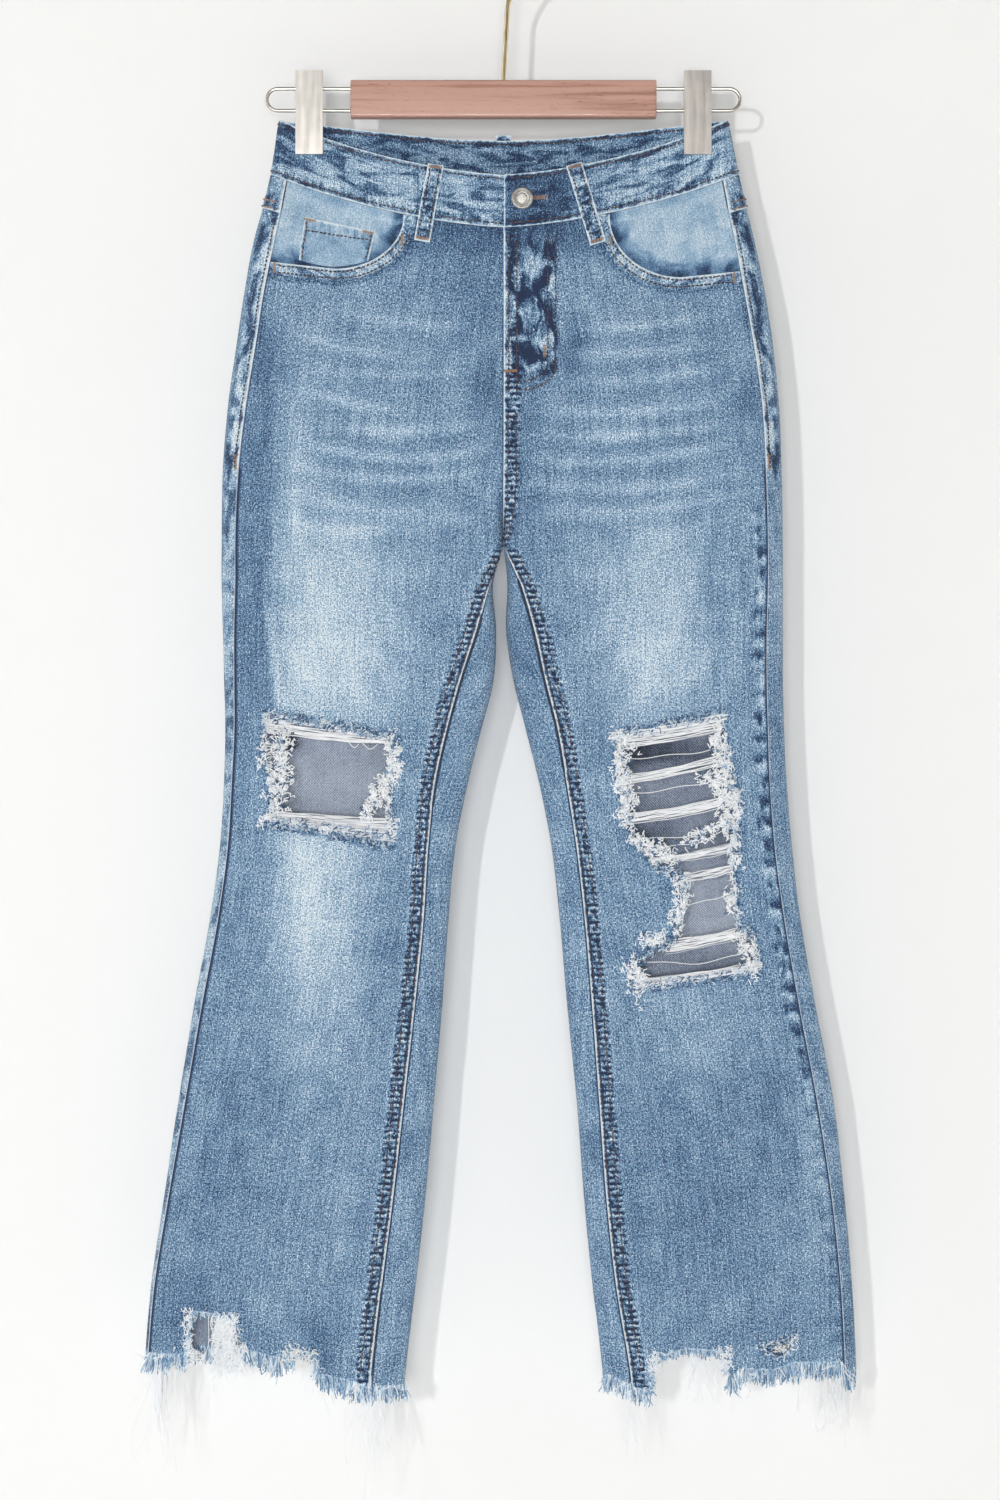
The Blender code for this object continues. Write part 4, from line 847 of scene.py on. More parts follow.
def lineFade(w, drop, w0, d0, w1, d1, w2, d2, half, much):
    # a parabola through three places, drawn as much x sin(pi along)^0.6 x exp(-(1.2 off)^2)
    upright = abs(d2 - d0) > abs(w2 - w0)
    (a0, b0), (a1, b1), (a2, b2) = [
        (d, v) if upright else (v, d) for v, d in ((w0, d0), (w1, d1), (w2, d2))
    ]
    a, b = (drop, w) if upright else (w, drop)
    curve = (
        b0 * (a - a1) * (a - a2) / ((a0 - a1) * (a0 - a2))
        + b1 * (a - a0) * (a - a2) / ((a1 - a0) * (a1 - a2))
        + b2 * (a - a0) * (a - a1) / ((a2 - a0) * (a2 - a1))
    )
    fade = np.sin(np.pi * np.clip((a - a0) / (a2 - a0), 0, 1)) ** 0.6
    off = (b - curve) / half
    shadow = 0.0 if upright else 0.3  # a level line has a darker one below it
    return whisker * much * fade * (bell(1.2 * off, 1) - shadow * bell(off - 1.9, 1))


def fadeAndShadeOf(side, w, drop):
    # faded and darker patches exp(-r^2), the darker ones partly painted shade, faded lines, and pressed
    # edges, which jump from light to dark, the dark side partly painted fold shadow, and fade out as exp(-off
    # / reach)
    total = np.zeros(np.shape(w))
    for w0, drop0, halfW, halfDrop, much in metres(fadeAndShadeSpots[side]):
        total += much * np.exp(-(((w - w0) / halfW) ** 2) - ((drop - drop0) / halfDrop) ** 2)
    for row in metres(fadeLines[side]):
        total += lineFade(w, drop, *row)
    for w0, drop0, w1, drop1, dark, light in metres(pressFadeAndShadeRows[side]):
        off = w - w0 - (drop - drop0) * (w1 - w0) / (drop1 - drop0)
        fade = smooth(drop, drop0 - 0.030, drop0 + 0.030) * fading(drop, drop1 - 0.005, drop1 + 0.010)
        outside = smooth(off, -0.0014, 0.0014)
        # the dark side: partly a real fade edge, partly painted fold shadow
        total -= fade * outside * dark * np.exp(-np.abs(off) / 0.014)
        total += fade * (1 - outside) * light * np.exp(-np.abs(off) / 0.020)
    return total


def creaseOf(side, q, w, drop):
    # small creases, gone near the folds so that both faces meet
    p = np.where(q > 3, 6 - q, np.abs(q))
    calm = smooth(p, 0.15, 0.8) * fading(p, 2.3, 2.95) * smooth(drop, 0.285, 0.32)
    heights = [ridge(creaseRows[side, face], w, drop) for face in faces]
    return np.where(facingOf(q) == front, *heights) * calm


def clothPoint(side, face, w, drop, inset=0.0):
    # the creased cloth at a width and drop of one face
    w, drop = np.broadcast_arrays(np.asarray(w, float), np.asarray(drop, float))
    return facePoint(side, face, w, drop, inset - creaseOf(side, face * qOf(side, w, drop), w, drop))


print("stage: makers ready")

panelLook = dict(
    seamRaise=0.0005,  # how much a felled seam stands up, and how wide it is
    seamWide=0.0055,
    ropeWide=0.0108,
    foot=1.172,
    pucker=215.0,  # puckers and blots of colour in a metre of seam
    wrapBlot=46.0,
    sideDash=60.0,
    flyBlot=72.0,
)
far = 0.05  # a distance to an edge that is no longer seen


def clothValues(across, along, worn=far, shade=far, rope=(0, 0, 0), wash=0.0, blot=(0, 0, 0), gloom=0.0):
    # what the denim finish reads: a place on the cloth, how far its worn edges and its dark lines are
    # (painted shadow in the seams' gaps, and dark stitch rows), how strong its ropes and blots are, with the
    # place across them in their sizes, its fade with painted shade, and painted shade on the inside
    names = "across along worn shade rope ropeAlong ropeAcross wash blot blotAlong blotAcross gloom"
    return dict(zip(names.split(), (across, along, worn, shade, *rope, wash, *blot, gloom)))


def tornCells(side, q, drop, rips):
    # cells to keep, and the points moved onto the torn edges
    w, facing, grid = widthAt(side, q, drop), facingOf(q), body["grid"]
    around = lambda values: values[:-1, :-1] + values[1:, :-1] + values[:-1, 1:] + values[1:, 1:]
    wMid, dropMid, facingMid = around(w) / 4, around(drop) / 4, facingOf(around(q) / 4)
    keep = dropMid < hemDrop(side, facingMid, wMid)
    for rip in rips:
        keep &= ~(within(rip, wMid, dropMid) & (facingMid == front))
    near = around(np.pad(keep, 1).astype(int))
    border = (near > 0) & (near < 4)
    level = hemDrop(side, facing, w)
    toHem = border & (np.abs(level - drop) < 1.7 * grid)
    drop = np.where(toHem, level, drop)
    torn = np.clip(np.abs(level - drop) + 0.0008, 0, far)
    for rip in rips:
        (lowW, lowDrop), (highW, highDrop) = rip.min(0) - 0.02, rip.max(0) + 0.02
        close = (w > lowW) & (w < highW) & (drop > lowDrop) & (drop < highDrop)
        close &= (facing == front) & (np.abs(q) > 0.1)
        distance, nearW, nearDrop = np.full(w.shape, far), w.copy(), drop.copy()
        distance[close], nearW[close], nearDrop[close] = nearestOn(rip, w[close], drop[close])
        move = border & ~toHem & (distance < 1.5 * grid)
        q = np.where(move, -qOf(side, nearW, nearDrop), q)
        drop = np.where(move, nearDrop, drop)
        torn = np.minimum(torn, np.where(move, 0.0, distance) + 0.0008)
    return q, drop, keep, torn


# painted shade on the inside of the back, where it lies in the dark behind a rip: w, drop, half sizes, how
# much
paintedInsideShadeRows = {
    "right": (
        (177, 648, 11, 8, 550), (165, 654, 60, 6, 50), (242, 1122, 20, 20, 120),
    ),
    "left": (
        (100, 660, 16, 12, 140), (104, 728, 20, 12, 120), (140, 690, 70, 62, 170),
        (110, 655, 30, 12, 100), (138, 656, 36, 9, 200), (110, 724, 30, 12, 80), (150, 832, 70, 16, 160),
    ),
}


def backValues(side, drop, torn, outEdge, inEdge, aboveFork):
    # a back's worn edges, dark edges (painted shadow in the inseam's gap), ropes and blots: pale along the
    # outseam, roped at the rise
    look, isLeft = panelLook, side == "left"
    worn = np.minimum(torn, outEdge + 0.0024 * smooth(drop, 0.425, 0.440))
    worn = np.where(isLeft & aboveFork, np.minimum(worn, inEdge), worn)
    rope = fading(inEdge, 0.008, 0.012) * aboveFork * isLeft
    blot = (1.15 - (0.95 if isLeft else 0.35) * smooth(drop, 0.425, 0.450)) * fading(outEdge, 0.012, 0.018)
    wash = 0.14 * fading(outEdge, 0.010, 0.016) * (not isLeft)
    felled = look["seamRaise"] * fading(outEdge, look["seamWide"] - 0.0015, look["seamWide"])
    return felled, dict(
        worn=worn, shade=np.where(aboveFork, far, inEdge), wash=wash,
        rope=(rope, drop * look["pucker"], inEdge * 60),
        blot=(blot, drop * look["wrapBlot"], outEdge * 70),
    )


def frontValues(side, w, drop, facing, torn, outEdge, inEdge, aboveFork):
    # a front's: roped inseam, painted shade round the rips, dark lines at the mouths, painted seam shadow
    # lines, and on the left the fly and its lap
    look = panelLook
    below = smooth(drop, crotch - 0.010, crotch + 0.010)
    felled = look["seamRaise"] * (fading(inEdge, look["seamWide"] + 0.001, look["seamWide"] + 0.0025) * below)
    worn = np.minimum(torn, np.where(aboveFork, far, inEdge))
    # painted shadow in the outseam's gap, and a dark line at the inseam's first stitch row
    outLine = np.where(drop > 0.43, 0.42 * outEdge, outEdge + 0.0003) + 0.0004 * (side == "left")
    shade = np.minimum(outLine, np.where(aboveFork, far, np.abs(inEdge - 0.0026) + 0.0004))
    rope = 1.50 * fading(inEdge, look["ropeWide"], look["ropeWide"] + 0.002) * below
    ropeAlong, ropeAcross = drop * look["pucker"], inEdge * 190
    wash = -0.10 * rope + 0.10 * bell(inEdge - look["ropeWide"] - 0.0022, 0.0016) * below
    underBand = drop - edgeDrop(waistSeam, side, facing, w)
    wash = wash - 0.40 * np.exp(-underBand / 0.018 - (w / 0.066) ** 2)
    # painted shade in a ring round the knee rips, for the dark hollows between the fringe
    wash = wash - 0.13 * fading(nearestOn(kneeRips[side], w, drop)[0], 0.001, 0.0055)
    mouthNear = nearestOn(mouthLine(side), w, drop, closed=False)[0]
    atMouth = fading(mouthNear, 0.0085, 0.0110) * (drop < 0.30)
    worn = np.minimum(worn, mouthNear + 0.0002)
    shade = np.minimum(shade, np.abs(mouthNear - 0.0100) + 0.0006 + far * (drop > 0.30))
    blot, blotAlong, blotAcross = 0.85 * atMouth, (w * 0.8 + drop) * 110, mouthNear * 60
    wash = wash + 0.20 * atMouth - 0.24 * (bell(mouthNear - 0.0118, 0.0018) * (drop < 0.30))
    if side == "left":
        worn = np.where(aboveFork, np.minimum(worn, inEdge), worn)
        felled = felled + look["seamRaise"] * aboveFork * fading(inEdge, 0.0125, 0.0135)
        lapRope = aboveFork * fading(inEdge, 0.0115, 0.0140) * smooth(drop, 0.33, 0.36)
        flyRope = 0.8 * (np.abs(inEdge - 0.007) < 0.0032) * fading(drop, 0.33, 0.36)
        rope = np.maximum(rope, np.maximum(1.5 * lapRope, flyRope))
        fly = fading(inEdge, 0.041, 0.045) * fading(drop, 0.350, 0.366)
        fly = fly * (0.3 + 0.7 * smooth(underBand, 0.006, 0.020))
        nearSide, nearFly = outEdge < 0.02, inEdge < 0.05
        dash = (0.9 - 0.6 * smooth(drop, 0.86, 0.96)) * fading(outEdge, 0.009, 0.014)
        rope = np.where(nearSide, dash * smooth(drop, 0.44, 0.50), rope)
        ropeAlong = np.where(nearSide, drop * look["sideDash"], ropeAlong)
        ropeAcross = np.where(nearSide, outEdge * 110, ropeAcross)
        blotAlong = np.where(nearFly, drop * look["flyBlot"] * 0.75, blotAlong)
        blotAcross = np.where(nearFly, inEdge * look["flyBlot"] * 1.3, blotAcross)
        blot = np.maximum(blot, 1.30 * fly)
        wash = wash - 0.10 * lapRope - 0.17 * fly
    else:
        # painted shadow: a dark line at the middle edge under the lap, and darker cloth in the groove of the
        # rise
        shade = np.minimum(shade, np.where(aboveFork & (drop > 0.30), inEdge + 0.0004, far))
        wash = wash - 0.22 * fading(inEdge, 0.003, 0.009) * (aboveFork * smooth(drop, 0.400, 0.470))
    return felled, dict(
        worn=worn, shade=shade, wash=wash,
        rope=(rope, ropeAlong, ropeAcross), blot=(blot, blotAlong, blotAcross),
    )


def makePanel(side, face):
    # the cloth follows the section, raised by creases and by the felled edge of its seams
    seam = waistSeam if face == front else yokeSeam
    q, drop, places = panelGrid(side, face, panelDrops(side, seam, panelLook["foot"]))
    rips = []
    if face == front:
        rips += [ragged(kneeRips[side]), mouthOutline(side)]
        rips += [ragged(hemRip, 0.003, 0.0005)] if side == "left" else []
    q, drop, keep, torn = tornCells(side, q, drop, rips)
    w, facing, aboveFork = widthAt(side, q, drop), facingOf(q), drop < crotch
    edges = torn, places, places[:, -1:] - places, aboveFork
    gloom = np.zeros(w.shape)
    if face == front:
        felled, values = frontValues(side, w, drop, facing, *edges)
    else:
        felled, values = backValues(side, drop, *edges)
        # painted shade on the inside of the back behind the rips
        for w0, drop0, halfW, halfDrop, much in metres(paintedInsideShadeRows[side]):
            gloom += much * np.exp(-(((w - w0) / halfW) ** 4) - ((drop - drop0) / halfDrop) ** 4)
    wash = values["wash"] + fadeAndShadeOf(side, w, drop) * (facing == front)
    wash += 0.012 * np.sin(drop * 61 + w * 23) + 0.010 * np.sin(w * 97 - drop * 37 + 1)
    seat = np.exp(-((w - 0.15) / 0.06) ** 2 - ((drop - 0.34) / 0.08) ** 2)
    wash += 0.10 * seat * (facing == back)
    values = clothValues(places, drop, **{**values, "wash": wash}, gloom=gloom)
    crease = creaseOf(side, q, w, drop)
    outer = loopPoint(side, q, drop, -crease - felled)
    inner = loopPoint(side, q, drop, wall - crease)
    name = f"{faces[face]}_{side}"
    print("  panel", side, faces[face])
    return shell(name + "_cloth", outer, inner, walled, keep, values, node=name)


panels = {(side, face): makePanel(side, face) for side in sides for face in faces}


def makeYoke(side):
    # the band between the waistband and the back panel: top + share x (foot - top)
    share = np.linspace(0, 1, 22)[:, None]

    def dropOf(w, facing):
        top = edgeDrop(waistSeam, side, facing, w) + gap / 2
        return top + share * (edgeDrop(yokeSeam, side, facing, w) - gap / 2 - top)

    q, drop, places = panelGrid(side, back, dropOf)
    height = drop[-1:] - drop[:1]
    fromFoot = (1 - share) * height
    blot = np.maximum(0.8 * fading(places, 0.014, 0.020), 0.5 * fading(share * height, 0.010, 0.016))
    values = clothValues(
        places, drop, np.minimum(fromFoot + 0.0002, places), wash=-0.02,
        rope=(0.7 * fading(fromFoot, 0.010, 0.014), places * 150, fromFoot * 60),
        blot=(blot, drop * 60, places * 60),
    )
    felled = panelLook["seamRaise"] * fading(fromFoot, 0.0105, 0.0115)
    outer, inner = loopPoint(side, q, drop, -felled), loopPoint(side, q, drop, wall)
    name = f"yoke_{side}"
    return shell(name + "_cloth", outer, inner, walled, None, values, node=name)


yokes = {side: makeYoke(side) for side in sides}

bandLook = dict(
    underlap=(0.034, 0.022, 0.010, 0.001),
    step=(0.0008, 0.0070),
    last=0.1765,
    turn=(-0.55, -0.25, 0.0, 0.25, 0.55),
    lap=(0.010, 0.0004),
    spacing=0.0022,
    rows=20,
    pucker=160.0,
)


def bandStations():
    # (side, face, w or q at a fold, step) from the underlap, round by the back, to the lap
    look, under = bandLook, body["bandWall"] + gap
    inner, outer = body["clipW"] - body["clipFlat"], body["clipW"] + body["clipFlat"]
    across = np.concatenate([np.linspace(0.020, inner, 9), [body["clipW"], outer, look["last"]]])
    first, second = look["step"]
    return [
        *(("left", front, w, under) for w in look["underlap"]),
        ("right", front, first, under), ("right", front, second, 0.0),
        *(("right", front, w, 0.0) for w in across),
        *(("right", 0, q, 0.0) for q in look["turn"]),
        *(("right", back, w, 0.0) for w in across[::-1]), ("right", back, 0.0, 0.0),
        *(("left", back, w, 0.0) for w in across),
        *(("left", 0, q, 0.0) for q in look["turn"][::-1]),
        *(("left", front, w, 0.0) for w in (*across[::-1], *look["lap"])),
    ]


def bandPoints(share, inset):
    # the stations' points on a grid of (down, along)
    grid = []
    for side, face, place, step in bandStations():
        facing = face or (front if place < 0 else back)
        drop = np.full(share.shape, waistSeam["side"])
        for _ in range(4):
            w = widthAt(side, place, drop) if face == 0 else place + 0 * drop
            top = edgeDrop(waistTop, side, facing, w)
            drop = top + share * (edgeDrop(waistSeam, side, facing, w) - gap / 2 - top)
        lift = inset + step - body["proud"]
        at = loopPoint(side, place, drop, lift) if face == 0 else facePoint(side, facing, w, drop, lift)
        grid.append(at[:, 0])
    return np.stack(grid, 1)


def makeWaistband():
    # a strip whose edges are rounded, with a dip between its two rows of stitches
    look = bandLook
    share = np.linspace(0, 1, look["rows"])[:, None]
    coarse, inside = bandPoints(share, 0.0), bandPoints(share, body["bandWall"])
    run = runOf(coarse[look["rows"] // 2])
    places = np.sort(np.concatenate([np.arange(0, run[-1], look["spacing"]), run]))
    places = places[np.concatenate([[True], np.diff(places) > 0.0004])]
    outer, inner = (
        np.stack([interpolated(places, run, row) for row in grid]) for grid in (coarse, inside)
    )
    height = np.interp(places, run, np.linalg.norm(coarse[-1] - coarse[0], axis=-1))[None, :]
    fromTop, fromFoot = share * height, (1 - share) * height
    edge = np.minimum(fromTop, fromFoot)
    dip = 0.0005 * smooth(0.0030 - edge, 0, 0.003) + 0.00025 * bell(edge - 0.004, 0.0012)
    outer = outer - unit(outer - inner) * dip[..., None]
    along, toEnd = places[None, :] + 0 * edge, (places[-1] - places)[None, :]
    worn = np.minimum(np.minimum(edge + 0.0003, toEnd + 0.0002), far)
    rope = 0.50 * fading(fromFoot, 0.007, 0.011) + 0.25 * fading(fromTop, 0.004, 0.007)
    atFly = bell(places[-1] - places - 0.024, 0.037, 4)[None, :]
    wash = -0.40 * atFly + 0.08 * fading(fromFoot, 0.006, 0.018) * (1 - atFly)
    wash = wash - 0.09 * (np.abs(places - run[len(run) // 2]) < 0.17)[None, :]
    wash = wash - 0.22 * bell(edge - 0.0034, 0.0018) + 0.02
    atFront = np.minimum(places - places[0], places[-1] - places) < 0.185
    wash = wash + 0.06 * (atFront * (1 - atFly[0]))[None, :]
    values = clothValues(
        along, fromTop, worn, wash=wash, rope=(rope, along * look["pucker"], fromTop * 60),
        blot=(0.82 - 0.3 * atFly + 0 * edge, along * 38 + fromTop * 50, fromTop * 125 - along * 16),
    )
    cloths = [denim, denim, hemRim]
    piece = shell("waistband_cloth", outer, inner, cloths, None, values, node="waistband")
    return piece, outer, inner


waistband, bandOuter, bandInner = makeWaistband()


def gridStrip(node, pointsAt, rows, columns, materials, valuesOf=None, slot="denim", suffix="_cloth"):
    # a wall on a grid of (along, across) shares from 0 to 1
    along = np.linspace(0, 1, rows)[:, None] + np.zeros((1, columns))
    across = np.linspace(0, 1, columns)[None, :] + np.zeros((rows, 1))
    outer, inner = pointsAt(along, across, True), pointsAt(along, across, False)
    values = valuesOf(along, across) if valuesOf else None
    return shell(node + suffix, outer, inner, materials, None, values, slot, node)


facingLook = dict(wide=0.124, foot=0.291, thick=0.0010)


def makeFacing(side):
    # the cloth that fills the pocket mouth, one layer under the front's own surface
    look = facingLook
    columns = int(look["wide"] / body["grid"])
    grid = panelGrid(side, front, panelDrops(side, waistSeam, look["foot"]))
    q, drop, places = (part[:, :columns] for part in grid)
    outer, inner = (loopPoint(side, q, drop, wall + gap + more) for more in (0.0, look["thick"]))
    w = np.abs(outer[..., 0])
    fromSeam = np.abs(drop - edgeDrop(waistSeam, side, front, w))
    fromMouth = nearestOn(mouthLine(side), w, drop, closed=False)[0]
    # painted shadow: darker inside the mouth's edge, and a little under the waistband seam
    wash = -0.42 * fading(fromMouth, 0.001, 0.014) - 0.08 * fading(fromSeam, 0.002, 0.010) + 0.08
    blot = 0.18 + 0.4 * fading(fromMouth, 0.004, 0.020)
    values = clothValues(places, drop, wash=wash, blot=(blot, w * 55, drop * 55))
    name = f"pocket_facing_{side}"
    return shell(name + "_cloth", outer, inner, [facingCloth] * 3, None, values, "denim_facing", name)


facings = {side: makeFacing(side) for side in sides}
coinLook = dict(
    corners=((0.1596, 0.2280), (0.1028, 0.2408), (0.1084, 0.2640), (0.1640, 0.2630)),  # w, drop
    dip=0.0050, thick=0.0010, tall=0.026, wide=0.058,
)


def coinPlace(along, across):
    # between the four corners, with a foot that dips by sin(pi across)
    topLeft, topRight, footRight, footLeft = np.array(coinLook["corners"])
    top = topLeft + across[..., None] * (topRight - topLeft)
    foot = footLeft + across[..., None] * (footRight - footLeft)
    w, drop = np.moveaxis(top + along[..., None] * (foot - top), -1, 0)
    return w, drop + coinLook["dip"] * along * np.sin(np.pi * across)


def coinPoints(along, across, outside):
    # that place on the right front, its inset less by the thickness outside
    inset = wall - gap - coinLook["thick"] * outside
    return facePoint("right", front, *coinPlace(along, across), inset)


def coinValues(along, across):
    fromTop = along * coinLook["tall"]
    edge = np.minimum(fromTop, np.minimum(across, 1 - across) * coinLook["wide"])
    w, drop = coinPlace(along, across)
    hem = fading(fromTop, 0.008, 0.010)
    blot = 0.42 * fading(edge, 0.003, 0.008) * (1 - hem) + 0.14
    return clothValues(
        w, drop, edge + 0.0003, wash=0.06 * hem - 0.02,
        rope=(0.3 * hem, w * 150, drop * 60), blot=(blot, w * 75, drop * 75),
    )


coinPocket = gridStrip("coin_pocket", coinPoints, 24, 49, [facingCloth] * 3, coinValues)
backPocketLook = dict(
    w=0.106, top=0.292, side=0.112, point=0.022, topHalf=0.070, footHalf=0.060, thick=0.0012,
)


def pocketPlace(along, across):
    # a five-sided patch: half width from top to foot, drop + side + point x (1 - |u|)
    look = backPocketLook
    u = 2 * across - 1
    half = look["topHalf"] + along * (look["footHalf"] - look["topHalf"])
    drop = look["top"] + along * (look["side"] + look["point"] * (1 - np.abs(u)))
    return look["w"] + half * u, drop


def pocketValues(along, across):
    w, drop = pocketPlace(along, across)
    edge = np.minimum(np.minimum(along, 1 - along) * 0.12, np.minimum(across, 1 - across) * 0.13)
    rope = np.maximum(0.7 * fading(edge, 0.006, 0.010), 0.8 * fading(along * 0.12, 0.014, 0.018))
    return clothValues(
        w, drop, edge + 0.0002, rope=(rope, (w + drop) * 150, edge * 60),
        wash=0.10 * np.exp(-(((across - 0.5) / 0.3) ** 2) - ((along - 0.5) / 0.35) ** 2),
        blot=(0.3 * fading(edge, 0.010, 0.020), w * 50, drop * 50),
    )


def makeBackPocket(side):
    # the patch laid on the back: gap + thickness x outside above its cloth
    def pointsAt(along, across, outside):
        lift = gap + backPocketLook["thick"] * outside
        return clothPoint(side, back, *pocketPlace(along, across), -lift)

    return gridStrip(f"back_pocket_{side}", pointsAt, 45, 49, walled, pocketValues)


backPockets = {side: makeBackPocket(side) for side in sides}
loopRows = (  # X and drop at each end, face
    ("front_right", -0.0540, 0.1885, -0.0652, 0.2492, front),
    ("front_left", 0.0562, 0.1880, 0.0756, 0.2508, front),
    ("back_centre", 0.0000, 0.1580, 0.0000, 0.2200, back),
    ("back_right", -0.1160, 0.1572, -0.1190, 0.2130, back),
    ("back_left", 0.1160, 0.1572, 0.1190, 0.2130, back),
)
loopLook = dict(width=0.0125, long=0.062, thickness=0.0018, slack=0.0022)


def loopAt(row, along, across, lift=0.0):
    # a place on a belt loop: along it, and across it from 0 to 1
    _, x0, drop0, x1, drop1, face = row
    offset = loopLook["width"] * (across - 0.5)
    x = x0 + along * (x1 - x0) + offset
    drop = drop0 + along * (drop1 - drop0) - offset * (x1 - x0) / (drop1 - drop0)
    slack = loopLook["slack"] * np.sin(np.pi * np.clip(along, 0, 1)) ** 0.5
    return garmentPoint(face, x, drop, -(body["proud"] + gap + slack + lift))


def makeBeltLoop(row):
    # a strip with its long edges rounded by smooth(|u|)
    name, x0, drop0, *_ = row
    long, width = loopLook["long"], loopLook["width"]

    def pointsAt(along, across, outside):
        rounded = 0.0005 * smooth(np.abs(2 * across - 1), 0.7, 1.0) * outside
        return loopAt(row, along, across, loopLook["thickness"] * outside - rounded)

    def valuesOf(along, across):
        edge, ends = np.minimum(across, 1 - across) * width, np.minimum(along, 1 - along) * long
        return clothValues(
            across * width + abs(x0), drop0 + along * 0.06, np.minimum(edge + 0.0003, ends + 0.0006),
            rope=(0.7, (along * long + x0) * 170, across * 0.75),
            wash=0.06 - 0.14 * bell(across - 0.5, 0.16), blot=(0.9, along * 9 + x0 * 60, across * 1.5),
        )

    return gridStrip(f"belt_loop_{name}", pointsAt, 29, 9, [denim] * 3, valuesOf)


beltLoops = [makeBeltLoop(row) for row in loopRows]
print("stage: cloth made")

stitchLook = dict(pitch=0.0034, length=0.0024, radius=0.00064, lift=0.00052, wander=0.00015)
runs = {"navy": [], "brown": [], "tan": []}
raised, pocketLift = panelLook["seamRaise"], gap + backPocketLook["thick"]
coinLift = -(wall - gap - coinLook["thick"])


def sew(thread, path, outward):
    # tubes of each stitch: in the cloth, over it, over it, and in again, along a dense path
    look, run = stitchLook, runOf(path)
    starts = np.arange(look["pitch"] / 2, run[-1] - look["length"], look["pitch"])
    places = starts[:, None] + np.array([0.0, 0.22, 0.78, 1.0]) * look["length"]
    lift = look["lift"] * np.array([-1.2, 1.0, 1.0, -1.2])[None, :, None]
    found = interpolated(places, run, path) + unit(interpolated(places, run, outward)) * lift
    runs[thread].append(found + normal(look["wander"], (len(starts), 1, 3)))


def alongPanel(side, face, edge, offset, drop):
    # q at an arc length from a panel's edge, at each drop
    start, end = panelSpan(side, face, drop)
    base, last = (start, end) if edge == "out" else (end, start)
    q = base[:, None] + (last - base)[:, None] * np.linspace(0, 1, 240)[None, :] ** 2
    run = runOf(loopPoint(side, q, drop[:, None]))
    return np.interp(offset + apart(run)[:, 0], (run + apart(run)).ravel(), q.ravel())


def sewOnPanel(side, face, edge, offset, drops, thread, lift=0.0):
    # a row of stitches at a distance from a panel's edge, down these drops
    drop = np.linspace(*drops, int((drops[1] - drops[0]) / 0.002))
    q = alongPanel(side, face, edge, offset, drop)
    crease = creaseOf(side, q, widthAt(side, q, drop), drop)
    path = loopPoint(side, q, drop, -(crease + lift))
    sew(thread, path, unit(path - loopPoint(side, q, drop, 0.002 - crease)))


def normalOf(pointAt, first, second, face, small):
    # outwards from a face, square to two small steps on it
    across = pointAt(first + small, second) - pointAt(first - small, second)
    down = pointAt(first, second + small) - pointAt(first, second - small)
    square = unit(np.cross(across, down))
    return square * np.where(np.sign(square[..., 1:2]) == face, 1, -1)


def sewOnFace(side, face, line, thread, lift=0.0):
    # a row of stitches along a line of (w, drop) places on a face
    w, drop = evenSteps(line, 0.0012).T
    pointAt = lambda w, drop: clothPoint(side, face, w, drop, -lift)
    sew(thread, pointAt(w, drop), normalOf(pointAt, w, drop, face, 0.0006))


def squareTo(heading):
    # the way to the right of these headings
    return np.stack([heading[..., 1], -heading[..., 0]], -1)


def placesOn(placeOf, *shares):
    return [placeOf(*np.array(share, float)) for share in shares]


for side in sides:
    sewOnPanel(side, back, "out", 0.0030, (0.228, 0.432), "navy", raised)
    for offset in (0.0022, 0.0086):
        sewOnPanel(side, front, "in", offset, (0.500, 1.155), "brown", raised * (offset < 0.004))
for face, offset, drops, thread in (  # the rise, front and back
    (front, 0.0035, (0.385, 0.487), "navy"), (front, 0.0100, (0.385, 0.487), "navy"),
    (front, 0.0040, (0.243, 0.372), "navy"), (front, 0.0105, (0.243, 0.372), "brown"),
    (back, 0.0022, (0.280, 0.487), "tan"), (back, 0.0080, (0.280, 0.487), "tan"),
):
    sewOnPanel("left", face, "in", offset, drops, thread, raised * (face == front))

# fly: two rows that run down and sweep in to the middle
for offset, foot, last in ((0.0354, 0.347, 0.361), (0.0415, 0.350, 0.368)):
    turn = np.linspace(0, np.pi / 2, 14)
    w = 0.0100 + (offset - 0.0100) * np.cos(turn) ** 0.8
    sweep = np.stack([w, foot + (last - foot) * np.sin(turn) ** 1.2], -1)
    sewOnFace("left", front, np.concatenate([[(offset, 0.243)], sweep]), "brown")

# pocket mouths
for side in sides:
    line = evenSteps(mouthLine(side), 0.002)
    line = line[(line[:, 0] < outline(side, "outseam", 0.26) - 0.004) & (line[:, 1] > 0.240)]
    for offset in (0.0024, 0.0080):
        beside = line - offset * squareTo(unit(np.gradient(line, axis=0)))
        sewOnFace(side, front, beside, "brown")

# coin pocket: its hem and its two upright sides
for ends in (((0.30, 0.03), (0.30, 0.97)), ((0.05, 0.04), (0.97, 0.04)), ((0.05, 0.96), (0.97, 0.96))):
    sewOnFace("right", front, placesOn(coinPlace, *ends), "brown", coinLift)

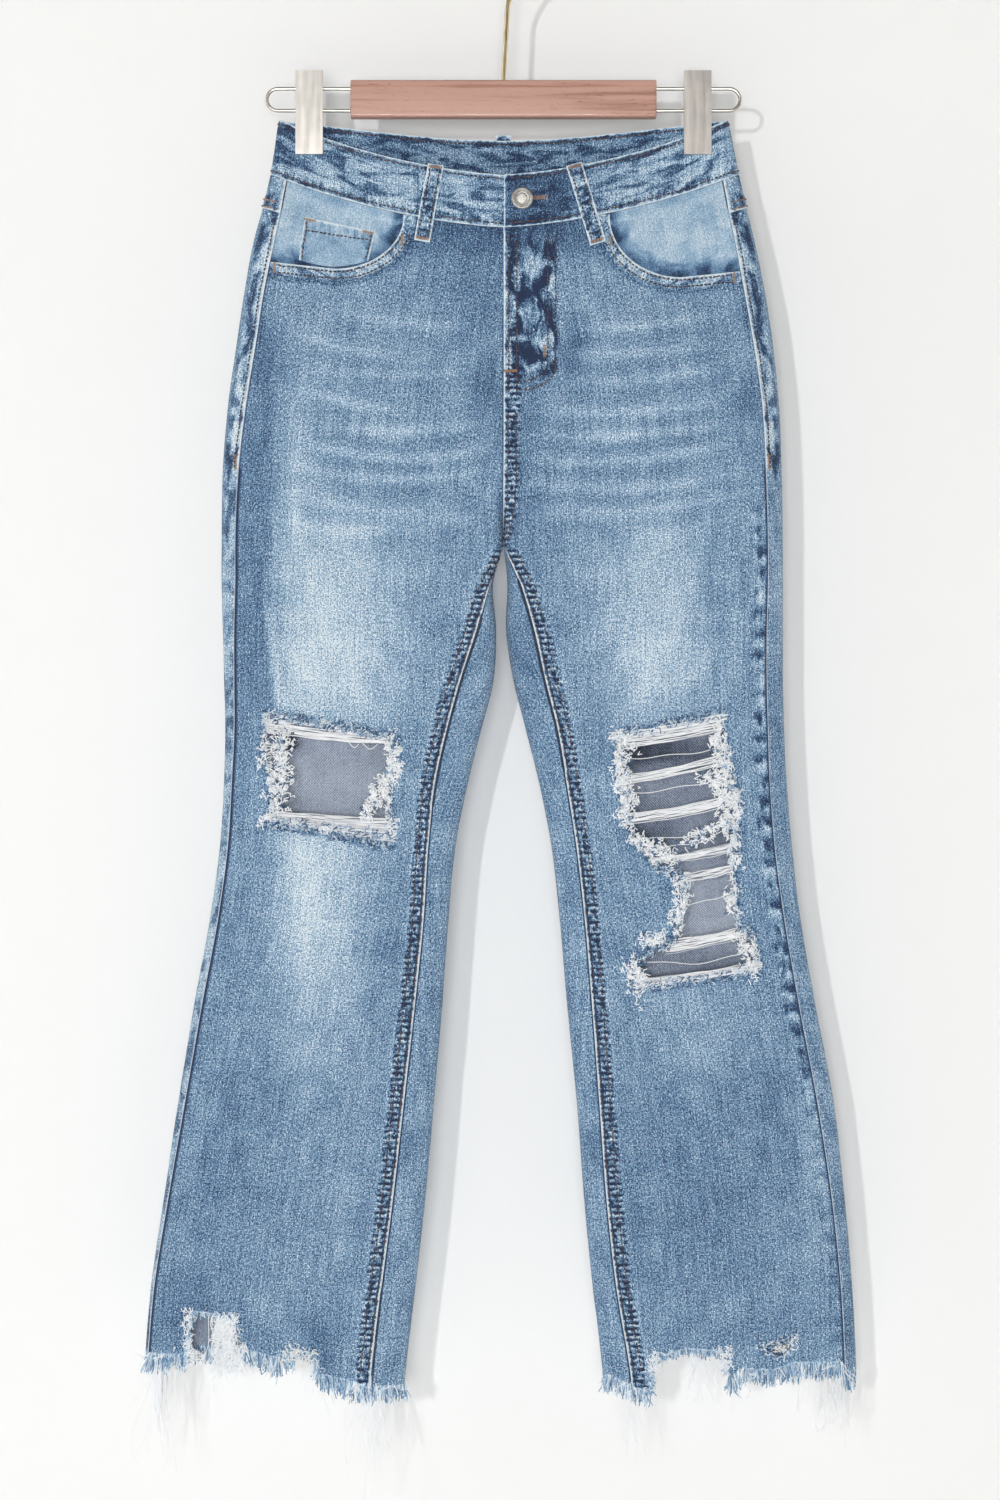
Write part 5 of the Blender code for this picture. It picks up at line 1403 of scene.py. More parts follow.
# yokes: two rows above the seam, and back pockets
for side in sides:
    for offset in (0.0022, 0.0080):
        start, end = panelSpan(side, back, np.full(120, 0.26))
        q = start + (end - start) * (0.01 + 0.98 * np.linspace(0, 1, 120))
        drop = np.full(120, 0.24)
        for _ in range(5):
            drop = edgeDrop(yokeSeam, side, facingOf(q), widthAt(side, q, drop)) - offset
        path = loopPoint(side, q, drop, -0.0005)
        sew("tan", path, unit(path - loopPoint(side, q, drop, 0.002)))
    for inset in (0.018, 0.062):
        last = 1 - inset
        corners = (inset, inset), (last, inset), (last, 0.5), (last, last), (inset, last)
        sewOnFace(side, back, placesOn(pocketPlace, *corners), "tan", pocketLift)
    hem = placesOn(pocketPlace, (0.12, 0.03), (0.12, 0.5), (0.12, 0.97))
    sewOnFace(side, back, hem, "tan", pocketLift)

# waistband: a row near each edge
across = unit(bandOuter - bandInner)
for rowShare in (0.075, 0.925):
    at = rowShare * (bandLook["rows"] - 1)
    i, t = int(at), at - int(at)
    for grid, sign, end in ((bandOuter, 1, 3), (bandInner, -1, 30)):
        path = grid[i] * (1 - t) + grid[i + 1] * t
        sew("brown", path[end:-end], sign * across[i][end:-end])

# belt loops: two rows along each
for row in loopRows:
    for share in (0.20, 0.80):
        along = np.linspace(0.04, 0.96, 60)
        path = loopAt(row, along, share, loopLook["thickness"])
        sew("brown", path, unit(path - loopAt(row, along, share)))

for thread, material in (("navy", threadDark), ("brown", threadBrown), ("tan", threadTan)):
    paths = np.concatenate(runs[thread])
    tints = uniform(0, 1, len(paths))
    tubePiece(f"stitches_{thread}", paths, stitchLook["radius"], material, tint=tints)
    print("  stitches", thread, len(paths))


tackLook = dict(spacing=0.00100, radius=0.00042, wide=0.0021)


def tack(pointAt, first, second):
    # a bar between two places: a close zigzag of threads side by side, square to it
    first, second = np.array(first, float), np.array(second, float)
    count = max(int(np.linalg.norm(second - first) / tackLook["spacing"]), 3)
    middle = first + np.linspace(0, 1, count)[:, None] * (second - first)
    heading = unit(second - first)
    reach = (squareTo(heading) + 0.3 * heading) * tackLook["wide"] / 2
    places = middle[:, None] + np.array([-1.0, -0.5, 0.5, 1.0])[None, :, None] * reach
    tacks.append(pointAt(places[..., 0], places[..., 1], np.array([-0.0002, 0.0007, 0.0007, -0.0002])))


def onFace(side, face, base=0.0):
    return lambda w, drop, lift: clothPoint(side, face, w, drop, -(base + lift))


def onLoop(row):
    return lambda u, v, lift: loopAt(
        row, v / loopLook["long"], u / loopLook["width"], loopLook["thickness"] + lift
    )


tacks = []
for side, base, first, second in (  # the fly, the mouths and the coin pocket
    ("left", 0.0005, (0.0004, 0.3530), (0.0104, 0.3525)),
    ("left", 0.0002, (0.0330, 0.3325), (0.0330, 0.3415)),
    ("right", 0.0, (0.0810, 0.2440), (0.0815, 0.2520)),
    ("left", 0.0, (0.0860, 0.2440), (0.0865, 0.2520)),
    ("right", 0.0, (0.1835, 0.2655), (0.1838, 0.2735)),
    ("left", 0.0, (0.1850, 0.2735), (0.1853, 0.2815)),
    ("right", coinLift, (0.1595, 0.2298), (0.1510, 0.2315)),
    ("right", coinLift, (0.1045, 0.2420), (0.1125, 0.2403)),
):
    tack(onFace(side, front, base), first, second)
for side in sides:
    w = outline(side, "outseam", 0.425) + 0.0030
    tack(onFace(side, front, 0.0004), (w, 0.4190), (w, 0.4310))
    for w, drop in placesOn(pocketPlace, (0.012, 0.03), (0.012, 0.97)):
        tack(onFace(side, back, pocketLift), (w - 0.0045, drop), (w + 0.0045, drop))
for row in loopRows:
    for drop in (0.035 * loopLook["long"], 0.965 * loopLook["long"]):
        tack(onLoop(row), (0.0016, drop), (0.0109, drop))
paths = np.concatenate(tacks)
tints = uniform(0, 0.5, len(paths))
tubePiece("bar_tacks", paths, tackLook["radius"], threadTan, tint=tints)
print("stage: stitches made")

frayLook = dict(radius=0.00040, each=0.00045, weft=0.00038, loose=0.00034, tuft=0.00050, hem=0.00046)


def bent(roots, headings, lengths, curl, count=6):
    # curved threads: root + heading x length x s + curl x (a s^1.5 + b s sin(5s + phase))
    s = np.linspace(0, 1, count)[None, :, None]
    wave = normal(1, (len(roots), 2, 3))
    phase = uniform(0, 2 * np.pi, (len(roots), 2, 1, 1))
    bend = wave[:, 0][:, None] * s**1.5 + wave[:, 1][:, None] * np.sin(5.0 * s + phase[:, 0]) * s
    bend[..., 1] *= 0.5
    return roots[:, None] + headings[:, None] * s * lengths[:, None, None] + bend * curl


def curls(roots, headings, lengths, size, turns, count=11):
    # curly threads: root + heading x L s + size x (turn(s) - turn(0)), where turn(s) goes round
    # the heading as (cos a, sin a), a = phase + 2 pi turns s
    s = np.linspace(0, 1, count)[None, :, None]
    aside = unit(np.cross(headings, (0.05, 1.0, 0.02)))
    up = np.cross(headings, aside)
    many = (len(roots), 1, 1)
    phase = uniform(0, 2 * np.pi, many)
    angle = phase + 2 * np.pi * uniform(*turns, many) * s
    wide = uniform(0.5, 1.4, many) * size
    found = roots[:, None] + headings[:, None] * s * lengths[:, None, None]
    found = found + wide * (np.cos(angle) - np.cos(phase)) * aside[:, None]
    return found + 0.45 * wide * (np.sin(angle) - np.sin(phase)) * up[:, None]


def anyWay(count, depth=0.2, waves=7, rise=1.0, down=0.0):
    # headings turned by random angles a: (cos a, depth x sin(waves a), rise x sin a - down)
    angle = uniform(0, 2 * np.pi, count)
    return unit(np.stack([np.cos(angle), depth * np.sin(waves * angle), rise * np.sin(angle) - down], -1))


def mixed(groups):
    # the paths and the tints of several groups of threads, each as one array
    return [np.concatenate(part) for part in zip(*groups)]


def kneeBand(row, count, inset=wall + 0.0006):
    # weft left across a rip: threads side by side, each with its own slack
    side, *row = row
    w0, top0, foot0, w1, top1, foot1 = metres(row)
    across = np.linspace(0, 1, 26)[None, :]
    place = (np.arange(count)[:, None] + 0.5) / count
    top, foot = top0 + across * (top1 - top0), foot0 + across * (foot1 - foot0)
    phase = uniform(0, 2 * np.pi, (count, 3))[:, :, None]
    drift = normal(0.00035, (count, 1))
    wave = 0.0005 * np.sin(7 * across + phase[:, 0]) + 0.0002 * np.sin(23 * across + phase[:, 1])
    drop = top + place * (foot - top) + 0.0015 * np.sin(np.pi * across) + (wave + drift)
    ends = normal(0.0014, (2, count, 1))
    w = w0 + ends[0] + across * (w1 + ends[1] - w0 - ends[0]) + 0 * drop
    return clothPoint(side, front, w, drop, inset + 0.0004 * np.sin(11 * across + phase[:, 2]))


# bands of weft: w, top and foot at each end
kneeRows = (
    ("right", 84, 640.5, 651, 194, 627, 642),
    ("right", 86, 710.5, 722.5, 190, 704, 712),
    ("left", 85, 646, 655, 180, 630, 640),
    ("left", 90, 678, 685, 186, 657, 665),
    ("left", 94, 708, 716, 192, 690, 698),
    ("left", 120, 742, 747, 188, 729, 737),
    ("left", 141, 756, 762, 190, 745, 751),
    ("left", 128, 809, 819, 196, 797, 805),
    ("left", 102, 840, 846, 208, 828, 834),
)
pitch = 0.60  # millimetres from one thread of a band to the next
numbers = dict.fromkeys(sides, 0)
for row in kneeRows:
    side, _, top0, foot0, _, top1, foot1 = row
    numbers[side] += 1
    count = int(max(foot0 - top0, foot1 - top1) / pitch)
    paths = kneeBand(row, count)
    node = f"knee_band_{side}_{numbers[side]}"
    # some threads greyer: partly the weft's own tone, partly painted shade in the gaps between threads
    tints = uniform(-0.4, 0.3, count) + 0.6 * (uniform(0, 1, count) > 0.84)
    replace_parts(tubePiece(node + "_threads", paths, frayLook["weft"], threadWeft, "weft", tints), node)

# weft left lying on the cloth beside the rips
lipRows = (
    ("right", 87, 720, 730, 190, 708, 713),
    ("left", 106, 839, 846, 206, 825, 832),
    ("left", 86, 642, 648, 178, 627, 632),
)
lip = np.concatenate([kneeBand(row, 13, -0.0007) for row in lipRows])
lipTints = uniform(-0.1, 0.6, len(lip))
tubePiece("knee_lip_threads", lip, frayLook["weft"], threadWeft, "weft", lipTints)
# single threads that crossed loose: w and drop at each end
loose = {
    "right": (
        (101, 651.5, 113, 650.5), (116, 651, 124, 649),
    ),
    "left": (
        (92, 662, 178, 652), (96, 690, 184, 676), (104, 728, 186, 712), (122, 735, 187, 716),
        (140, 780, 188, 766), (112, 826, 200, 818),
    ),
}


def rimPoints(line, step):
    # even places round a rip, with the way out of the cloth and into the hole
    places = evenSteps(line, step, closed=True)
    heading = np.roll(places, -1, axis=0) - np.roll(places, 1, axis=0)
    square = unit(np.stack([heading[:, 1], -heading[:, 0]], -1))
    test = places + square * 0.002
    return places, square * np.where(within(line, *test.T), 1.0, -1.0)[:, None]


def onSide(side, places, inward):
    # places and headings as (w, drop) turned to points and directions in space
    root = clothPoint(side, front, *places.T, uniform(0, wall, len(places)))
    tip = clothPoint(side, front, *(places + inward * 0.004).T)
    return root, unit(tip - clothPoint(side, front, *places.T))


def frayRip(side, line, name, scale=1.0):
    # blue warp ends curl thickly along the cut edges above and below, white weft ends at the
    # sides: which way, how long, how curly, turns, tint, share, how far back the roots start
    places, inward = rimPoints(line, frayLook["each"])
    upright = np.abs(inward[:, 1]) > 0.75
    groups = []
    for chosen, length, curl, turns, tint, share, start in (
        (upright, (0.0018, 0.0058), 0.0013, (0.4, 1.3), (0.50, 1.30), 1.0, (-0.0042, 0.0022)),
        (upright, (0.0012, 0.0046), 0.0014, (0.4, 1.3), (0.10, 0.75), 0.8, (-0.0040, 0.0034)),
        (upright, (0.0020, 0.0050), 0.0014, (0.5, 1.5), (0.0, 0.35), 0.18, (-0.0030, 0.0030)),
        (~upright, (0.0015, 0.0055), 0.0018, (0.5, 1.6), (-0.1, 0.40), 0.45, (-0.0020, 0.0020)),
        (~upright, (0.0010, 0.0035), 0.0010, (0.4, 1.3), (0.60, 1.10), 0.35, (-0.0025, 0.0005)),
    ):
        some = chosen & (uniform(0, 1, len(places)) < share)
        many = some.sum()
        spots = places[some] + inward[some] * uniform(*start, many)[:, None]
        root, heading = onSide(side, spots, unit(inward[some] + normal(0.55, (many, 2))))
        root[:, 1] -= uniform(0.0003, 0.0016, many)
        threads = curls(root, heading, uniform(*length, many) * scale, curl * scale, turns)
        groups.append((threads, uniform(*tint, many)))
    paths, tints = mixed(groups)
    tubePiece(name, paths, frayLook["radius"], threadFray, tint=tints, round=3)


for side in sides:
    frayRip(side, kneeRips[side], f"knee_fray_{side}")
    w0, drop0, w1, drop1 = metres(loose[side]).T[..., None]
    share = np.linspace(0, 1, 24)[None, :]
    phase = uniform(0, 6, (len(w0), 2, 1))
    wobble = np.minimum(0.024 * (w1 - w0), 0.0016)
    drop = drop0 + share * (drop1 - drop0)
    drop = drop + (0.004 + wobble * np.sin(9 * share + phase[:, 0])) * np.sin(np.pi * share)
    inset = 0.0003 + 0.001 * np.sin(6 * share + phase[:, 1]) ** 2
    paths = clothPoint(side, front, w0 + share * (w1 - w0), drop, inset)
    tubePiece(f"knee_loose_{side}", paths, frayLook["loose"], threadWeft, "weft", -0.1)


def between(first, last, count):
    # random places on a line between two
    share = uniform(0, 1, (count, 1))
    return np.array(first) * (1 - share) + np.array(last) * share


# knots of curled weft beside the rips: w and drop at each end, half width, how many
tuftRows = {
    "right": (
        (178, 640, 181, 696, 11.5, 181), (190, 650, 196, 672, 4, 16), (88, 650, 86, 674, 7, 71),
        (91, 676, 108, 704, 9, 110), (176, 700, 196, 716, 4, 27), (88, 716, 92, 722, 4, 16),
        (140, 716, 144, 724, 4, 12),
    ),
    "left": (
        (90, 640, 104, 655, 6, 33), (96, 655, 94, 690, 7.5, 93), (100, 690, 98, 712, 9, 93),
        (104, 726, 138, 742, 8, 93), (172, 640, 178, 690, 8.5, 143), (182, 690, 178, 722, 11, 126),
        (186, 728, 188, 752, 4.5, 38), (142, 758, 138, 798, 7, 93), (180, 770, 184, 786, 6, 38),
        (108, 808, 128, 806, 6, 49), (100, 826, 112, 846, 9, 82), (190, 806, 200, 834, 7.5, 71),
        (106, 846, 110, 862, 1.5, 8), (160, 676, 180, 690, 7, 66), (146, 732, 168, 718, 6, 52),
    ),
}
tuftGain = {"right": 1.5, "left": 1.3}
for side in sides:
    paths = []
    for *place, count in tuftRows[side]:
        w0, drop0, w1, drop1, half = metres(place)
        count = int(count * tuftGain[side])
        places = between((w0, drop0), (w1, drop1), count)
        places = places + np.clip(normal(0.42, (count, 2)), -0.9, 0.9) * half
        root = clothPoint(side, front, *places.T, uniform(-0.0024, 0.0010, count))
        heading = anyWay(count)
        paths.append(curls(root, heading, uniform(0.001, 0.005, count), 0.0017, (0.5, 1.6), 13))
    paths = np.concatenate(paths)
    # one thread in eight is dark blue: partly blue warp, partly painted shade in the hollows of the knots
    tints = uniform(-0.3, 0.15, len(paths)) + 0.85 * (uniform(0, 1, len(paths)) > 0.88)
    tubePiece(f"knee_tufts_{side}", paths, frayLook["tuft"], threadFray, tint=tints, round=3)

# blue curls in a row below that weft
many = 420
places = between((0.192, 0.7150), (0.086, 0.7335), many) + normal(0.0011, (many, 2))
root = clothPoint("right", front, *places.T, uniform(-0.0014, -0.0003, many))
paths = curls(root, anyWay(many, down=0.5), uniform(0.0012, 0.0045, many), 0.0013, (0.4, 1.3))
lipTints = uniform(0.25, 1.1, many)
tubePiece("knee_lip_fray", paths, frayLook["radius"], threadFray, tint=lipTints, round=3)
print("stage: knees made")

hemLook = dict(
    step=0.00042,
    near=1.15,  # the drop from which the edge is sought
    warp=(0.008, 0.017),  # lengths of the blue threads that hang from the edge
    weft=(0.004, 0.011),
    lowest=1.263,  # no thread hangs below this drop
)
# stretches of hem with little fringe: side, face, w from and to, share of the length kept
shortRows = (
    ("left", front, 0.116, 0.180, 0.28), ("right", front, 0.209, 0.253, 0.28),
    ("right", front, 0.150, 0.166, 0.45),
)
# tufts that hang from a hem: face, w, half width, length, how many
tasselRows = {
    "right": (
        (front, 276, 9, 94, 22), (front, 228, 12, 60, 12), (front, 108, 12, 86, 26),
        (front, 100, 8, 60, 12), (back, 275, 12, 60, 24), (back, 150, 14, 50, 24),
    ),
    "left": (
        (front, 100, 9, 56, 18), (front, 266, 16, 62, 30), (front, 190, 6, 30, 10),
        (front, 240, 10, 44, 10), (back, 270, 12, 55, 24), (back, 160, 14, 50, 24),
    ),
}


def hemRoots(side, face, step, count=900):
    # places along a panel's own hem, from one long edge to the other, q and drop
    drop = np.full(count, hemLook["near"])
    for _ in range(4):
        start, end = panelSpan(side, face, drop)
        q = start + np.linspace(0, 1, count) * (end - start)
        drop = hemDrop(side, facingOf(q), widthAt(side, q, drop))
    run = runOf(loopPoint(side, q, drop))
    places = np.arange(step / 2, run[-1], step)
    return np.interp(places, run, q), np.interp(places, run, drop)


def frayHem(side, face):
    # threads hung from a hem, more or fewer by 0.8 + 0.2 sin x cos: warp down, weft aslant
    q, drop = hemRoots(side, face, hemLook["step"])
    w = widthAt(side, q, drop)
    density = 0.80 + 0.20 * np.sin(w / 0.0051) * np.cos(w / 0.0123)
    for *place, low, high, kept in shortRows:
        if place == [side, face]:
            density = np.where((w > low) & (w < high) & (q < 0), kept, density)
    groups = []
    for kind, curl, tint, share, spread in (
        ("warp", 0.0007, (0.35, 0.85), 0.90, 0.08),
        ("warp", 0.0014, (0.25, 0.75), 0.60, 0.08),
        ("weft", 0.0022, (-0.1, 0.35), 0.22, 0.35),
    ):
        some = uniform(0, 1, len(q)) < share * (0.45 + density)
        many = some.sum()
        root = loopPoint(side, q[some], drop[some] - 0.001, uniform(0.0001, wall, many))
        lean = normal(spread, many)
        lean = lean + 0.16 * np.sin(w[some] / 0.0011 + 3 * np.sin(w[some] / 0.0047))
        heading = unit(np.stack([lean, 0.25 * lean[::-1], -np.ones(many)], -1))
        lengths = uniform(*hemLook[kind], many) * (0.05 + 1.1 * density[some])
        groups.append((bent(root, heading, lengths, curl), uniform(*tint, many)))
    paths, tints = mixed(groups)
    name = f"{faces[face]}_{side}"
    piece = tubePiece(f"hem_fray_{name}", paths, frayLook["hem"], threadFray, tint=tints, round=3)
    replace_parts(piece, f"fringe_{name}")


for side in sides:
    for face in faces:
        frayHem(side, face)
for side in sides:
    groups = []
    for face, *place, count in tasselRows[side]:
        w, half, length = metres(place)
        places = np.clip(w + normal(0.45, count) * half, w - half, w + half)
        drop = hemDrop(side, face, places)
        root = facePoint(side, face, places, drop - 0.003, uniform(0.0001, 0.0013, count))
        heading = unit(np.stack([normal(0.10, count), normal(0.03, count), -np.ones(count)], -1))
        lengths = np.minimum(length * uniform(0.35, 1.1, count), hemLook["lowest"] - 0.001 - drop)
        groups.append((bent(root, heading, lengths, 0.0042, 10), uniform(-0.3, 0.15, count)))
    paths, tints = mixed(groups)
    paths[..., 2] = np.maximum(paths[..., 2], -hemLook["lowest"])
    tubePiece(f"hem_tassels_{side}", paths, frayLook["loose"], threadFray, tint=tints, round=3)

# the hem's own holes and torn corners: warm threads and curled white ones
frayRip("left", hemRip, "hem_rip_fray", 0.5)
# side, w, drop, half width, half height, how many, length, how far they point down, thread
cornerRows = (
    ("right", 0.2535, 1.122, 0.0022, 0.018, 90, 0.0045, 0.4, threadFray),
    ("right", 0.2230, 1.120, 0.0085, 0.014, 330, 0.009, 1.8, threadFray),
    ("right", 0.2190, 1.142, 0.0130, 0.009, 260, 0.012, 1.8, threadFray),
    ("right", 0.2490, 1.142, 0.0060, 0.006, 60, 0.005, 0.8, threadFray),
    ("right", 0.1650, 1.143, 0.0130, 0.007, 60, 0.010, 0.0, threadBeige),
    ("left", 0.1205, 1.146, 0.0035, 0.008, 80, 0.004, 0.3, threadFray),
    ("left", 0.1780, 1.143, 0.0050, 0.009, 110, 0.004, 0.3, threadFray),
    ("left", 0.2220, 1.134, 0.0110, 0.004, 24, 0.010, 0.0, threadBeige),
)
for number, (side, w, drop, halfW, halfDrop, count, length, down, material) in enumerate(cornerRows):
    places = np.array((w, drop)) + uniform(-1, 1, (count, 2)) * (halfW, halfDrop)
    root = facePoint(side, front, *places.T, uniform(-0.0010, 0.0012, count))
    heading = anyWay(count, 0.1, 5, 0.5, down)
    paths = curls(root, heading, uniform(0.3, 1.0, count) * length, 0.0014, (0.4, 1.4))
    tints = uniform(-0.3, 0.3, count)
    tubePiece(f"hem_tuft_{number}", paths, frayLook["radius"], material, tint=tints, round=3)
print("stage: hems made")

buttonLook = dict(
    x=0.0148, drop=0.2157, radius=0.00875, dome=0.0032, neck=0.0028, sides=64,
    beads=28, beadRadius=0.00042, beadReach=0.00038,
)
# the button's face, in hundredths of its radius and thousandths of its dome
buttonRows = (
    (90, 0), (97, 80), (100, 280), (100, 500), (97, 680), (91, 800), (84, 820), (80, 740), (77, 620),
    (70, 600), (67, 660), (63, 700), (59, 660), (56, 620), (50, 620), (47, 700), (43, 750), (30, 765),
    (15, 770), (0, 772),
)


def ringQuads(index):
    # faces between rows of points that run round and close
    after = np.roll(index, -1, axis=1)
    return np.stack([index[:-1], after[:-1], after[1:], index[1:]], -1).reshape(-1, 4)


def circle(axis, count):
    # unit directions round an axis: cos x first + sin x second
    first = unit(np.cross(axis, (0.0, 0.0, 1.0)))
    angle = np.linspace(0, 2 * np.pi, count, endpoint=False)[:, None]
    return np.cos(angle) * first + np.sin(angle) * np.cross(axis, first)


def makeButton():
    # a profile of (radius, out) carried round an axis, closed to a point at both ends: a domed
    # face with a sunk ring, a beaded circle and a raised middle
    look, thick = buttonLook, body["bandWall"]
    around, r, dome, neck = (look[name] for name in ("sides", "radius", "dome", "neck"))
    pointAt = lambda x, drop: garmentPoint(front, x, drop, -body["proud"])
    axis = normalOf(pointAt, look["x"], look["drop"], front, 0.002)
    centre = pointAt(look["x"], look["drop"]) + axis * gap
    face = np.array(buttonRows) / (100, 1000) * (r, dome)
    profile = np.concatenate([[(0.0, -thick), (neck, -thick), (neck, 0.0)], face])
    rings = centre + axis * profile[1:-1, 1, None, None] + circle(axis, around) * profile[1:-1, 0, None, None]
    ends = centre + axis * profile[[0, -1], 1, None]
    points = np.concatenate([rings.reshape(-1, 3), ends])
    index = np.arange(rings.shape[0] * around).reshape(-1, around)
    after = np.roll(index, -1, axis=1)
    low, high = (np.full(around, len(points) - last) for last in (2, 1))
    fans = np.concatenate([
        np.stack([low, after[0], index[0]], -1), np.stack([high, index[-1], after[-1]], -1),
    ])
    groups = [ringQuads(index), fans]
    piece = makePiece("button_face", points, groups, [buttonMetal], sharp=40, slot="button")
    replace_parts(piece, "button")
    spots = centre + axis * 0.63 * dome + 0.735 * r * circle(axis, look["beads"])
    paths = spots[:, None] + np.linspace(-1, 1, 5)[None, :, None] * axis * look["beadReach"]
    radii = look["beadRadius"] * np.sqrt(1 - np.linspace(-0.94, 0.94, 5) ** 2)
    makePiece("button_beads", *tubes(paths, radii, 6), [buttonMetal], slot="button", sharp=80)


makeButton()

# the buttonhole: a slit bound with close stitches, from the button out along the band
holeLook = dict(start=0.0242, end=0.0350, wide=0.0026, spacing=0.00085, fall=0.06, thread=0.0003)
long = holeLook["end"] - holeLook["start"]
x = holeLook["start"] + np.linspace(0, 1, int(long / holeLook["spacing"]))[:, None] * long
drop = buttonLook["drop"] - holeLook["fall"] * (x - buttonLook["x"])
reach = np.array([0.1, 0.35, 0.9, 1.15]) * holeLook["wide"] / 2
lift = body["proud"] + np.array([-0.0002, 0.0006, 0.0006, -0.0002])
paths = [garmentPoint(front, x + 0 * reach, drop + way * reach, -lift) for way in (-1.0, 1.0)]
tubePiece("buttonhole", np.concatenate(paths), holeLook["thread"], threadTan, tint=-0.2)

zipLook = dict(
    x=0.001, half=0.013, top=0.2425, foot=0.372, tape=0.0008, bow=0.0038, slider=0.0022,
    sliderTop=0.004, sliderLong=0.034, tooth=0.0021, toothRadius=0.00062,
)
# the slider and its pull: thousandths of its length, half width in millimetres
sliderRows = metres(((0, 3.4), (120, 4.5), (320, 3.0), (400, 1.8), (880, 2.4), (1000, 1.6)))


def tapeAt(along, across, outside):
    # a strip that bows inwards: inset = layer + bow x (1 - u^2), and its thickness inside
    look = zipLook
    x = look["x"] + look["half"] * (2 * across - 1)
    drop = look["top"] + along * (look["foot"] - look["top"])
    bow = look["bow"] * (1 - (2 * across - 1) ** 2)
    return garmentPoint(front, x, drop, wall + gap + bow + (0 if outside else look["tape"]))


def sliderAt(along, across, outside):
    # a tab whose half width follows its rows along it, thinner at its two edges
    look = zipLook
    x = look["x"] + np.interp(along, *sliderRows.T) * (2 * across - 1)
    drop = look["top"] + look["sliderTop"] + along * look["sliderLong"]
    round = 1 - np.minimum(np.minimum(across, 1 - across) * 4, 1)
    inset = wall + 2 * gap + 0.0006 * round + (0 if outside else look["slider"] - 0.0012 * round)
    return garmentPoint(front, x, drop, inset)


def makeTeeth():
    # short rods across the middle, which start left and right by turns
    look = zipLook
    drop = np.arange(look["top"] + 0.005, look["foot"] - 0.004, look["tooth"])[:, None]
    way = np.where(np.arange(len(drop)) % 2, 1.0, -1.0)[:, None]
    reach = way * np.array([-0.0004, 0.0008, 0.0020, 0.0026])
    paths = garmentPoint(front, look["x"] + reach, drop, wall + gap + look["bow"] - 0.0007)
    tubePiece("zip_teeth", paths, look["toothRadius"], zipMetal, "zip_metal", 0.0, 6)


# the closed zip behind the lap: tape, teeth and a slider with its pull
zipTape = gridStrip("zip_tape", tapeAt, 40, 13, [tapeCloth] * 3, slot="zip_tape")
makeTeeth()
gridStrip("zip_slider", sliderAt, 30, 9, [zipMetal] * 3, slot="zip_metal", suffix="_metal")

hangerLook = dict(
    half=0.123, top=0.1174, foot=0.1474, deep=0.006, round=0.0022, wire=0.0015, wireEnd=0.192,
    drops=(0.1236, 0.1412), hookWire=0.0020, inner=0.019,
    turn=(-40.0, 205.0), neck=(0.0030, -0.0620), swing=(0.012, 0.014),
)


def makeBar():
    # a rounded rectangle carried along X, drawn in a little at each end
    look = hangerLook
    angle = np.linspace(0, 2 * np.pi, 49)[:-1] + np.pi / 96
    turn = np.stack([np.cos(angle), np.sin(angle)], -1)
    round = look["round"]
    middle, tall = (look["top"] + look["foot"]) / 2, (look["foot"] - look["top"]) / 2
    profile = np.sign(turn) * (look["deep"] - round, tall - round) + round * turn
    end, drawn = np.array([-1, -0.9995, -0.997, -0.993, -0.98]), np.array([0.16, 0.08, 0.03, 0, 0])
    x = np.concatenate([end, np.linspace(-0.96, 0.96, 41), -end[::-1]]) * look["half"]
    drawn = np.concatenate([drawn, np.zeros(41), drawn[::-1]])[:, None]
    points = np.stack([
        np.repeat(x[:, None], 48, 1),
        profile[None, :, 0] * (1 - drawn),
        -middle + profile[None, :, 1] * (1 - drawn * 0.35),
    ], -1)
    index = np.arange(len(x) * 48).reshape(-1, 48)
    groups = [ringQuads(index), index[:1, ::-1], index[-1:]]
    piece = makePiece("bar_wood", points.reshape(-1, 3), groups, [wood], slot="wood", sharp=50)
    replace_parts(piece, "hanger_bar")


def oneWire(name, x, z, radius, material, slot, node):
    # a round wire along a smooth path in the plane of the hanger
    path = np.stack([x, 0 * x, z], -1)[None]
    piece = makePiece(name, *tubes(path, radius, 20), [material], slot=slot, sharp=60)
    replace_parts(piece, node)


def makeWires(side):
    # out along the top, half a turn, and back along the foot
    look = hangerLook
    upper, lower = look["drops"]
    bend = (lower - upper) / 2
    start, turnAt = look["half"] + gap, look["wireEnd"] - look["wire"] - bend
    angle = np.linspace(np.pi / 2, -np.pi / 2, 33)
    straight = np.linspace(start, turnAt, 12)[:-1]
    x = np.concatenate([straight, turnAt + bend * np.cos(angle), straight[::-1]])
    round = -(upper + lower) / 2 + bend * np.sin(angle)
    z = np.concatenate([0 * straight - upper, round, 0 * straight - lower])
    oneWire(f"wire_{side}", sides[side] * x, z, look["wire"], wireMetal, "wire", f"hanger_wire_{side}")


